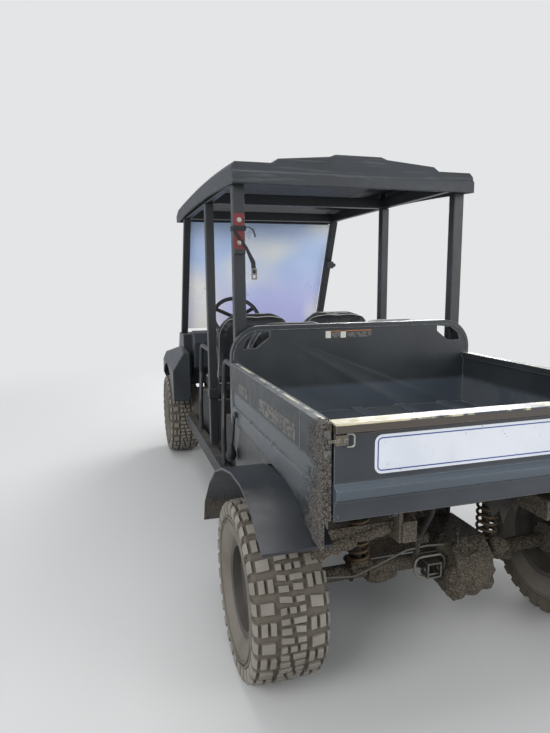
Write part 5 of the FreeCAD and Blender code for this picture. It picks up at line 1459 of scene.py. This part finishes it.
@dataclass
class Underbody:
    """What shows under the bed: coil springs, mud, the chain loop, a link with its bushing and a shield."""

    frame: Frame
    coil: float = 0.038
    wire: float = 0.006
    turns: int = 9

    # Middle, half sizes and seed of each clod round the axle, and of each lump on the apron.
    CLODS = (
        ((-0.152, 1.520, 0.275), (0.098, 0.060, 0.095), 3),
        ((-0.225, 1.490, 0.235), (0.055, 0.060, 0.062), 5),
        ((-0.090, 1.500, 0.220), (0.048, 0.060, 0.050), 8),
        ((-0.150, 1.450, 0.195), (0.080, 0.080, 0.030), 12),
        ((0.200, 1.435, 0.272), (0.070, 0.030, 0.028), 17),
        ((-0.380, 1.435, 0.275), (0.080, 0.032, 0.030), 21),
        ((-0.300, 1.470, 0.330), (0.050, 0.045, 0.050), 25),
        ((-0.075, 1.455, 0.365), (0.035, 0.035, 0.045), 31),
    )
    LUMPS = (
        ((0.36, 1.752, 0.617), (0.05, 0.014, 0.022), 41),
        ((0.43, 1.752, 0.606), (0.05, 0.016, 0.020), 43),
        ((0.50, 1.752, 0.586), (0.055, 0.016, 0.022), 47),
        ((0.57, 1.752, 0.575), (0.035, 0.014, 0.024), 53),
    )
    # The middle of the link's bushing.
    EYE = (0.069, 1.500, 0.433)

    def build(self) -> None:
        """Make the pieces that ride on the chassis."""
        low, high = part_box("rear_springs")
        y, x = (low.y + high.y) / 2, high.x - 0.045
        foot = low.z
        seat = block((x - 0.045, y - 0.04, foot), (x + 0.045, y + 0.04, foot + 0.012))
        wire = pipe(helix((x, y, foot + 0.018), self.coil, high.z - foot - 0.030, self.turns), self.wire, 10)
        add_piece("coil_springs", wire.both_sides(), SPRING_STEEL, "chassis",
                  replaces=("rear_springs",))
        tall = high.z - foot - 0.002
        profile = np.array([[0.0, 0.013], [0.10, 0.013], [0.102, 0.021], [tall, 0.021], [tall, 0.0],
                            [0.0, 0.0]])
        damper = revolve(profile, 24).turned(Axis.Y, -90).moved(x, y, foot)
        nuts = [bolt_head((x + dx, y + dy, foot + 0.012), 0.008, 0.01, Axis.Z) for dx in (-0.035, 0.035)
                for dy in (-0.03, 0.03)]
        bow = [(0.0, -0.033, 0.0), (0.0, -0.033, -0.063), (0.0, 0.033, -0.063), (0.0, 0.033, 0.0)]
        bows = [pipe(rounded(bow, 0.03), 0.004, 8, up=ACROSS).moved(x + dx, y, foot)
                for dx in (-0.035, 0.035)]
        add_piece("spring_seats", join([seat, damper, *nuts, *bows]).both_sides(), CAST, "chassis",
                  bevel=1.2 * MM)
        self._mud()
        self._ring()
        self._link()

    def _mud(self) -> None:
        """Clods of mud packed round the transaxle and the axle tube."""
        clods = [clod(centre, radii, 0.016, seed) for centre, radii, seed in self.CLODS]
        add_piece("packed_mud", join(clods), PACKED_MUD, "chassis", angle=60)

    def _ring(self) -> None:
        """The safety chain's loop, a rod bent round the hitch receiver behind its mouth."""
        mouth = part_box("hitch_receiver")[1].y
        loop = rounded_rectangle(0.066, 0.040, 0.030, 8) + np.array([0.010, 0.304])
        path = np.insert(loop, Axis.Y.value, mouth - 0.022, axis=1)
        add_piece("chain_loop", pipe(path, 0.0052, 12, up=BACK, closed=True), LATCH_STEEL, "chassis",
                  angle=60)

    def _link(self) -> None:
        """A link from the axle to the cross member with its bushing and nuts, and a torn shield."""
        eye, stud_place = self.EYE, (-0.090, 1.52)
        bush = revolve(np.array([[-0.030, 0.010], [-0.030, 0.024], [0.030, 0.024], [0.030, 0.010]]), 28, eye)
        ends = [bolt_head((eye[0] + s * 0.030, *eye[1:]), 0.013, 0.010, Axis.X, s) for s in (1, -1)]
        arm, foot = (pipe(np.array([eye, *line]), 0.011, 12, up=ACROSS) for line in (
            ((0.069, 1.580, 0.560), (0.069, 1.592, 0.600)), ((0.060, 1.470, 0.360), (0.055, 1.450, 0.325))))
        stud = slab(circle(0.007, 12) + np.array(stud_place), 0.389, 0.453, Axis.Z)
        stud_nut = bolt_head((*stud_place, 0.452), 0.012, 0.010, Axis.Z)
        collar = slab(circle(0.015, 16) + np.array(stud_place), 0.380, 0.396, Axis.Z)
        add_piece("axle_link", join([bush, *ends, arm, foot, stud, stud_nut, collar]), CAST, "chassis",
                  bevel=0.8 * MM)
        shield = np.array([[-0.13, 0.640], [-0.31, 0.640], [-0.30, 0.585], [-0.262, 0.548], [-0.245, 0.572],
                           [-0.214, 0.500], [-0.196, 0.556], [-0.165, 0.534], [-0.142, 0.590]])
        add_piece("torn_shield", slab(shield, 1.618, 1.6205, Axis.Y), CAST, "chassis")
        edge = np.array([[0.300, 0.640], [0.318, 0.622], [0.352, 0.628], [0.366, 0.606], [0.402, 0.611],
                         [0.418, 0.588], [0.446, 0.592], [0.463, 0.569], [0.488, 0.580], [0.512, 0.556],
                         [0.541, 0.564], [0.560, 0.545], [0.600, 0.552], [0.600, 0.643], [0.300, 0.643]])
        plate = slab(edge[::-1], 1.748, 1.754, Axis.Y)
        lumps = [clod(centre, radii, 0.008, seed, 3) for centre, radii, seed in self.LUMPS]
        add_piece("muddy_apron", join([plate, *lumps]).both_sides(), PACKED_MUD, "chassis",
                  angle=60)


@dataclass
class Seats:
    """Four cushioned seats: pads swollen by a cloth simulation, sewn channels and pale piping.

    A back's top falls towards its sides as crown * (x / half) ** 2.2.
    """

    frame: Frame
    crown: float = 0.04
    voxel: float = 0.006
    cap: float = 0.013
    pressure: float = 4.0
    steps: int = 20
    groove: float = 0.005
    seam: float = 0.006
    sewn_half: float = 0.56
    cord: float = 0.0036

    def build(self) -> None:
        """Simulate one back and one cushion, and set copies in the four places."""
        for name in ("seat_backs", "seat_cushions"):
            parts = loose_parts(self.frame.nodes[name])
            parts.sort(key=lambda part: (part.points[:, 1].mean(), part.points[:, 0].mean()))
            first, body = parts[-1], self.frame.body_of[name]
            pad = self._swollen(first)
            low, high = first.points.min(axis=0), first.points.max(axis=0)
            sewn = self._sewn(pad, low, high, name == "seat_backs")
            piping = self._piping(sewn, low, high, name == "seat_backs")
            for number, part in enumerate(parts):
                shift = part.points.min(axis=0) - low
                copy = Shape(sewn.points + shift, sewn.faces)
                piece = add_piece(f"{name}_pad_{number}", copy, VINYL, body, angle=70,
                                  replaces=(name,) if number == 0 else (), closed=False)
                add_piece(f"{name}_piping_{number}", Shape(piping.points + shift, piping.faces), PIPING,
                          body, angle=60)

    def _swollen(self, part: Shape) -> Shape:
        """The pad as cloth blown up from a slightly smaller shape, no point moved past the cap.

        Args:
            part: The model's cushion or back.

        Returns:
            The swollen pad.
        """
        middle = (part.points.min(axis=0) + part.points.max(axis=0)) / 2
        size = part.points.max(axis=0) - part.points.min(axis=0)
        inner = middle + (part.points - middle) * (1 - 0.012 / size)
        if size[2] > size[1]:
            out = np.abs(inner[:, 0] - middle[0]) / (size[0] / 2)
            high = np.clip((inner[:, 2] - middle[2]) / (size[2] / 2), 0, 1)
            inner[:, 2] -= self.crown * out ** 2.2 * high
        pad = put("pad", Shape(inner, part.faces).mesh("pad"))
        remesh = pad.modifiers.new("Remesh", "REMESH")
        remesh.mode = "VOXEL"
        remesh.voxel_size = self.voxel * 1
        soften = pad.modifiers.new("Soften", "SMOOTH")
        soften.iterations = 12
        even = self._evaluated(pad)
        even = self._blown(pad, even)
        bpy.data.objects.remove(pad)
        return even

    def _evaluated(self, pad: bpy.types.Object) -> Shape:
        """The object's mesh with its modifiers, as a shape of quads and triangles.

        Args:
            pad: The object.

        Returns:
            The shape.
        """
        mesh = bpy.data.meshes.new_from_object(pad.evaluated_get(bpy.context.evaluated_depsgraph_get()))
        faces: dict[int, list] = {}
        for polygon in mesh.polygons:
            faces.setdefault(len(polygon.vertices), []).append(tuple(polygon.vertices))
        return Shape(corners_of(mesh), [np.array(rows) for rows in faces.values()])

    def _blown(self, pad: bpy.types.Object, even: Shape) -> Shape:
        """Run the cloth simulation on the evened mesh.

        Args:
            pad: The object to run it on.
            even: The evened mesh.

        Returns:
            The blown mesh.
        """
        pad.modifiers.clear()
        pad.data = even.mesh("blown")
        cloth = pad.modifiers.new("Cloth", "CLOTH")
        cloth.settings.use_pressure = True
        cloth.settings.uniform_pressure_force = self.pressure
        cloth.settings.effector_weights.gravity = 0
        cloth.point_cache.frame_end = self.steps
        scene = bpy.context.scene
        for step in range(1, self.steps + 1):
            scene.frame_set(step)
        blown = self._evaluated(pad)
        scene.frame_set(1)
        move = blown.points - even.points
        length = np.linalg.norm(move, axis=1, keepdims=True)
        return Shape(even.points + move * np.minimum(1, self.cap / np.maximum(length, 1e-9)), even.faces)

    def _sewn(self, pad: Shape, low: np.ndarray, high: np.ndarray, back: bool) -> Shape:
        """Press sewn channels into the side that is sat on: groove * exp(-(distance / seam) ** 2) deep.

        Args:
            pad: The swollen pad.
            low: The lower corner of the model's part.
            high: Its upper corner.
            back: Whether it is a back and not a cushion.

        Returns:
            The pad with its channels.
        """
        middle, size = (low + high) / 2, high - low
        across = np.abs(pad.points[:, 0] - middle[0]) / (size[0] / 2)
        if back:
            front = pad.points[:, 1] < middle[1] + (pad.points[:, 2] - middle[2]) * 0.2
            axis, reach, way = 2, (0.30, 0.52, 0.74), BACK
        else:
            front = pad.points[:, 2] > middle[2]
            axis, reach, way = 1, (0.28, 0.5, 0.72), (0, 0, -1)
        along = (pad.points[:, axis] - low[axis]) / size[axis]
        inside = across < self.sewn_half
        depth = sum(np.exp(-((along - place) * size[axis] / self.seam) ** 2) * inside for place in reach)
        sides = np.exp(-((across - self.sewn_half) * size[0] / 2 / self.seam) ** 2)
        sides = sides * (along > 0.1) * (along < 0.9)
        depth = np.maximum(depth, sides) * front * self.groove
        return Shape(pad.points + depth[:, None] * np.array(way), pad.faces)

    def _piping(self, pad: Shape, low: np.ndarray, high: np.ndarray, back: bool) -> Shape:
        """Pale cord laid on the pad along its front and rear seams, or round a cushion's top.

        Args:
            pad: The sewn pad.
            low: The lower corner of the model's part.
            high: Its upper corner.
            back: Whether it is a back and not a cushion.

        Returns:
            The cords' mesh.
        """
        tree = BVHTree.FromPolygons(pad.points.tolist(), pad.rows())
        middle, half = (low + high) / 2, (high - low) / 2
        if not back:
            loop = rounded_rectangle(half[0] - 0.006, half[1] - 0.006, 0.06, 20) + middle[:2]
            path = np.insert(loop, Axis.Z.value, high[2] - 0.012, axis=1)
            path = self._thickened(np.vstack([path, path[:1]]))[:-1]
            return pipe(self._laid(path, tree), self.cord, 8, closed=True)
        cords = []
        for y_top in (high[1] - 0.006, middle[1] + 0.006):
            line = arch(0.006 - half[0], 0.0, low[2] + 0.03, high[2] - 0.012)
            path = self._thickened(rounded(line, 0.146, 30)) + np.array([middle[0], 0, 0])
            out = np.abs(path[:, 0] - middle[0]) / half[0]
            path[:, 2] -= self.crown * out ** 2.2 * (path[:, 2] > high[2] - 0.2)
            path[:, 1] = y_top - (high[2] - path[:, 2]) * half[1] / (high[2] - low[2])
            cords.append(pipe(self._laid(path, tree), self.cord, 8, up=(0.02, 1, 0.1)))
        return join(cords)

    def _thickened(self, path: np.ndarray) -> np.ndarray:
        """The path with points about 10 mm apart.

        Args:
            path: Rows of x, y, z.

        Returns:
            The new rows.
        """
        steps = np.linalg.norm(np.diff(path, axis=0), axis=1)
        place = np.concatenate([[0], np.cumsum(steps)])
        even = np.linspace(0, place[-1], max(int(place[-1] / 0.010), 8))
        return np.stack([np.interp(even, place, path[:, k]) for k in range(3)], axis=1)

    def _laid(self, path: np.ndarray, tree: BVHTree) -> np.ndarray:
        """The path moved to the nearest place on the pad, then evened by a running mean.

        Args:
            path: Rows of x, y, z.
            tree: The pad's faces.

        Returns:
            The new rows.
        """
        spots = np.array([tree.find_nearest(Vector(row))[0][:] for row in path])
        for _ in range(3):
            spots[1:-1] = (spots[:-2] + spots[1:-1] * 2 + spots[2:]) / 4
        return spots


def loose_parts(node: bpy.types.Object) -> list[Shape]:
    """The separate solids of a node's mesh.

    Args:
        node: The model's node.

    Returns:
        One shape for each solid.
    """
    work = bmesh.new()
    work.from_mesh(node.data)
    bmesh.ops.remove_doubles(work, verts=work.verts, dist=SAME_POINT)
    waiting, parts = set(work.verts), []
    while waiting:
        found, edge = set(), [next(iter(waiting))]
        while edge:
            vertex = edge.pop()
            if vertex not in found:
                found.add(vertex)
                edge += [link.other_vert(vertex) for link in vertex.link_edges]
        waiting -= found
        order = {vertex: k for k, vertex in enumerate(found)}
        faces = {face for vertex in found for face in vertex.link_faces}
        points = np.array([vertex.co[:] for vertex in order])
        parts.append(Shape(points, [np.array([[order[v] for v in face.verts] for face in faces])]))
    work.free()
    return parts


@dataclass
class Cabin:
    """The dash: a round gauge left blank, vents, a glove box and switches.

    The dash's face slopes by slope degrees.
    """

    frame: Frame
    slope: float = -14.0

    def build(self) -> None:
        """Make the pieces round the driver."""
        face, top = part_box("dash")[1].yz
        profile = np.array([[0.0, 0.0], [0.0, 0.052], [0.012, 0.052], [0.014, 0.045], [0.006, 0.043],
                            [0.006, 0.0]])
        gauge = revolve(profile, 40).turned(Axis.Z, 90).turned(Axis.X, 18)
        gauge = gauge.moved(0.278, face - 0.020, top - 0.060)
        add_piece("gauge", gauge, GRIP_PLASTIC, "chassis", angle=40)
        seams = ring_plate(rounded_rectangle(0.150, 0.060, 0.02), rounded_rectangle(0.147, 0.057, 0.02),
                           -0.002, 0.002, Axis.Y)
        seams = seams.turned(Axis.X, self.slope).moved(-0.330, face - 0.030, top - 0.150)
        latch = block((-0.350, face - 0.022, top - 0.112), (-0.310, face - 0.012, top - 0.098))
        vent = ring_plate(rounded_rectangle(0.036, 0.024, 0.008), rounded_rectangle(0.030, 0.018, 0.006),
                          -0.003, 0.004, Axis.Y).turned(Axis.X, self.slope)
        vents = [vent.moved(x, face - 0.018, top - 0.100) for x in (-0.10, 0.10)]
        switches = [block((x, face - 0.020, top - 0.170), (x + 0.020, face - 0.006, top - 0.140))
                    for x in (-0.06, -0.03, 0.0, 0.03)]
        add_piece("dash_trim", join([seams, latch, *vents, *switches]), GRIP_PLASTIC, "chassis",
                  bevel=1.0 * MM)


@dataclass
class FrontEnd:
    """Headlamps with bowls and lenses, bumper bolts and a tow hook."""

    frame: Frame

    def build(self) -> None:
        """Make the pieces on the nose."""
        low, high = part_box("headlamps")
        x, z = high.x - 0.065, (low.z + high.z) / 2
        front = low.y
        shell = rounded_rectangle(0.0635, 0.0435, 0.021) + np.array([x, z])
        inner = rounded_rectangle(0.0560, 0.0360, 0.016) + np.array([x, z])
        bezel = ring_plate(shell, inner, front + 0.001, front + 0.040, Axis.Y)
        floor = slab(shell, front + 0.040, front + 0.046, Axis.Y)
        add_piece("lamp_housings", (bezel + floor).both_sides(), GRIP_PLASTIC, "chassis")
        profile = np.array([[0.0, 0.004], [0.010, 0.022], [0.026, 0.031], [0.028, 0.031], [0.012, 0.0235],
                            [-0.002, 0.006], [-0.002, 0.0], [0.0, 0.0]])
        bowl = revolve(profile, 40).turned(Axis.Z, -90)
        bowls = [bowl.moved(x + dx, front + 0.038, z) for dx in (-0.027, 0.030)]
        add_piece("lamp_reflectors", join(bowls).both_sides(), CHROME, "chassis", angle=50)
        lens = slab(inner, front + 0.002, front + 0.006, Axis.Y)
        add_piece("lamp_lenses", lens.both_sides(), LENS, "chassis", bevel=1.0 * MM,
                  replaces=("headlamps",))
        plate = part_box("front_bumper")[0].y + 0.014
        bolts = [bolt_head((x, plate, z), 0.009, 0.008, Axis.Y, -1)
                 for x in (-0.25, -0.13, 0.13, 0.25) for z in (0.35, 0.43)]
        line = [(0.03, plate, 0.37), (0.03, plate - 0.012, 0.37), (-0.03, plate - 0.012, 0.37),
                (-0.03, plate, 0.37)]
        hook = pipe(rounded(line, 0.010), 0.006, 12)
        add_piece("bumper_bolts", join(bolts + [hook]), STEEL, "chassis", bevel=0.6 * MM)


@dataclass
class PostDetails:
    """Bolts, strap band and buckle of the red bracket, the clamp on the right front post, and hoop feet."""

    frame: Frame

    def build(self) -> None:
        """Make the small pieces on the cab's posts."""
        low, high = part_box("bracket")
        x, face = (low.x + high.x) / 2, low.y + 0.005
        bolts = [bolt_head((x, face, z), 0.0085, 0.007, Axis.Y) for z in (low.z + 0.045, high.z - 0.030)]
        add_piece("bracket_bolts", join(bolts), STEEL, "chassis", bevel=0.6 * MM)
        lip = block((low.x - 0.001, face, low.z - 0.006), (high.x + 0.001, high.y + 0.002, low.z + 0.016))
        add_piece("bracket_lip", lip, CAB_PAINT, "chassis", bevel=1.5 * MM)
        post = np.array([x - 0.001, 0.7085])
        post_low = post[0] - 0.031
        band = rounded_rectangle(0.031, 0.0315, 0.006) + post
        inner = rounded_rectangle(0.0288, 0.0293, 0.005) + post
        strap = ring_plate(band, inner, 1.640, 1.662, Axis.Z)
        tail_path = np.array([[post_low + 0.004, 0.742, 1.655], [post_low - 0.012, 0.746, 1.654],
                              [post_low - 0.028, 0.747, 1.645], [post_low - 0.036, 0.746, 1.628],
                              [post_low - 0.040, 0.745, 1.610]])
        section = np.array([[0.0012, 0.009], [-0.0012, 0.009], [-0.0012, -0.009], [0.0012, -0.009]])
        tail = sweep(tail_path, section, up=BACK)
        add_piece("strap_band", join([strap, tail]), WEBBING, "chassis", bevel=0.4 * MM)
        strap_low, strap_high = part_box("bracket_strap")
        centre = np.array([strap_low.x + 0.010, strap_low.z + 0.004])
        rims = (rounded_rectangle(*sizes) + centre
                for sizes in ((0.013, 0.026, 0.004), (0.007, 0.019, 0.003)))
        buckle = ring_plate(*rims, strap_low.y - 0.002, strap_high.y + 0.003, Axis.Y)
        bar = block((centre[0] - 0.012, strap_low.y - 0.001, centre[1] - 0.002),
                    (centre[0] + 0.012, strap_high.y + 0.002, centre[1] + 0.002))
        add_piece("strap_buckle", buckle + bar, LATCH_STEEL, "chassis", bevel=0.6 * MM)
        clamp = block((-0.606, -1.052, 1.505), (-0.548, -1.000, 1.560))
        knob = revolve(np.array([[-0.012, 0.0], [-0.012, 0.014], [0.012, 0.017], [0.012, 0.0]]), 24)
        knob = knob.moved(-0.618, -1.026, 1.532)
        add_piece("post_clamp", clamp + knob, GRIP_PLASTIC, "chassis", bevel=4.0 * MM)
        foot = block((0.540, -0.113, 0.70), (0.600, -0.043, 0.760))
        add_piece("post_brackets", foot.both_sides(), CAB_PAINT, "chassis", bevel=4.0 * MM)


@dataclass
class Studio:
    """The camera at the photograph's angle, a plain pale floor and soft light."""

    eye: Point = (1.1713, 3.2892, 1.4160)
    forward: Point = (-0.28146, -0.94736, -0.15260)
    up: Point = (-0.05145, -0.14390, 0.98825)
    lens: float = 27.53
    backdrop: str = "e4e5e6"
    floor_fade: tuple[float, float] = (2.4, 7.5)
    floor_half: float = 30.0

    def build(self) -> None:
        """Set up the view, the floor and the lights."""
        scene = bpy.context.scene
        scene.view_settings.view_transform = "Standard"
        camera = put("camera", bpy.data.cameras.new("camera"))
        forward, up = Vector(self.forward).normalized(), Vector(self.up)
        right = forward.cross(up).normalized()
        up = right.cross(forward)
        turn = Matrix((right, up, -forward)).transposed()
        camera.matrix_world = Matrix.Translation(self.eye) @ turn.to_4x4()
        camera.data.lens = self.lens
        camera.data.clip_start = 0.05
        scene.camera = camera
        self._floor()
        self._world()
        for name, place, aim, size, power in (
            ("key", (6.0, 5.0, 4.5), (0.2, 0.6, 0.7), 4.5, 400.0),
            ("far", (-4.5, -6.5, 4.0), (0.0, -0.8, 1.2), 4.5, 620.0),
            ("fill", (-5.0, 7.0, 3.0), (0.0, 1.4, 0.6), 4.5, 220.0),
            ("top", (0.0, 0.5, 7.5), (0.0, 0.0, 0.0), 5.0, 200.0),
        ):
            self._lamp(name, place, aim, size, power)

    def _lamp(self, name: str, place: Point, aim: Point, size: float, power: float) -> None:
        """One square area lamp that faces aim.

        Args:
            name: The lamp's name.
            place: Where it hangs.
            aim: Where it points.
            size: Its side in metres.
            power: Its power in watts.
        """
        light = bpy.data.lights.new(name, "AREA")
        light.size = size
        light.energy = power
        lamp = put(name, light)
        lamp.location = place
        lamp.rotation_mode = "QUATERNION"
        lamp.rotation_quaternion = (Vector(aim) - Vector(place)).to_track_quat("-Z", "Y")

    def _floor(self) -> None:
        """A pale matt floor that keeps the vehicle's shadow."""
        mesh = bpy.data.meshes.new("floor")
        half = self.floor_half
        corners = [(-half, -half, 0), (half, -half, 0), (half, half, 0), (-half, half, 0)]
        mesh.from_pydata(corners, [], [(0, 1, 2, 3)])
        floor = put("floor", mesh)
        material = bpy.data.materials.new("pale_floor")
        graph = Graph.of(material)
        place = graph.add("TexCoord").outputs["Object"]
        away = graph.add("VectorMath", {0: place}, operation="LENGTH").outputs["Value"]
        near, far = self.floor_fade
        share = graph.add("MapRange", {0: away, 1: near, 2: far}, interpolation_type="SMOOTHERSTEP")
        shader = graph.add("BsdfPrincipled", {"Base Color": "bfbfbd", "Roughness": 0.9})
        glow = graph.add("Emission", {"Color": self.backdrop, "Strength": 1.0})
        graph.add("OutputMaterial", {"Surface": graph.add("MixShader", {0: share, 1: shader, 2: glow})})
        mesh.materials.append(material)

    def _world(self) -> None:
        """Soft light all round, and a pale backdrop where the camera sees it or looks through a pane."""
        world = bpy.data.worlds.new("studio")
        bpy.context.scene.world = world
        graph = Graph.of(world)
        rays = graph.add("LightPath").outputs
        share = graph.add("Math", {0: rays["Is Camera Ray"], 1: rays["Is Transmission Ray"]},
                          operation="MAXIMUM")
        light, seen = (graph.add("Background", {"Color": colour, "Strength": strength})
                       for colour, strength in (("e8edf5", 0.75), (self.backdrop, 1.0)))
        graph.add("OutputWorld", {"Surface": graph.add("MixShader", {0: share, 1: light, 2: seen})})


def main() -> None:
    """Build every piece in order and report it."""
    logging.basicConfig(level=logging.INFO, format="%(message)s")
    frame = Frame.load()
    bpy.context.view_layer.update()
    Studio().build()
    for name, coat in PLAIN_NODES.items():
        frame.dress(name, coat)
    for name, (coat, bevel) in ROUNDED_NODES.items():
        frame.rounded_copy(name, coat, bevel * MM, segments=2 if bevel < WIDE_BEVEL else 4)
    for part in (Roof, Wheels, Tailgate, BedDetails, Underbody, Seats, Cabin, FrontEnd, PostDetails):
        part(frame).build()


if __name__ == "__main__":
    main()
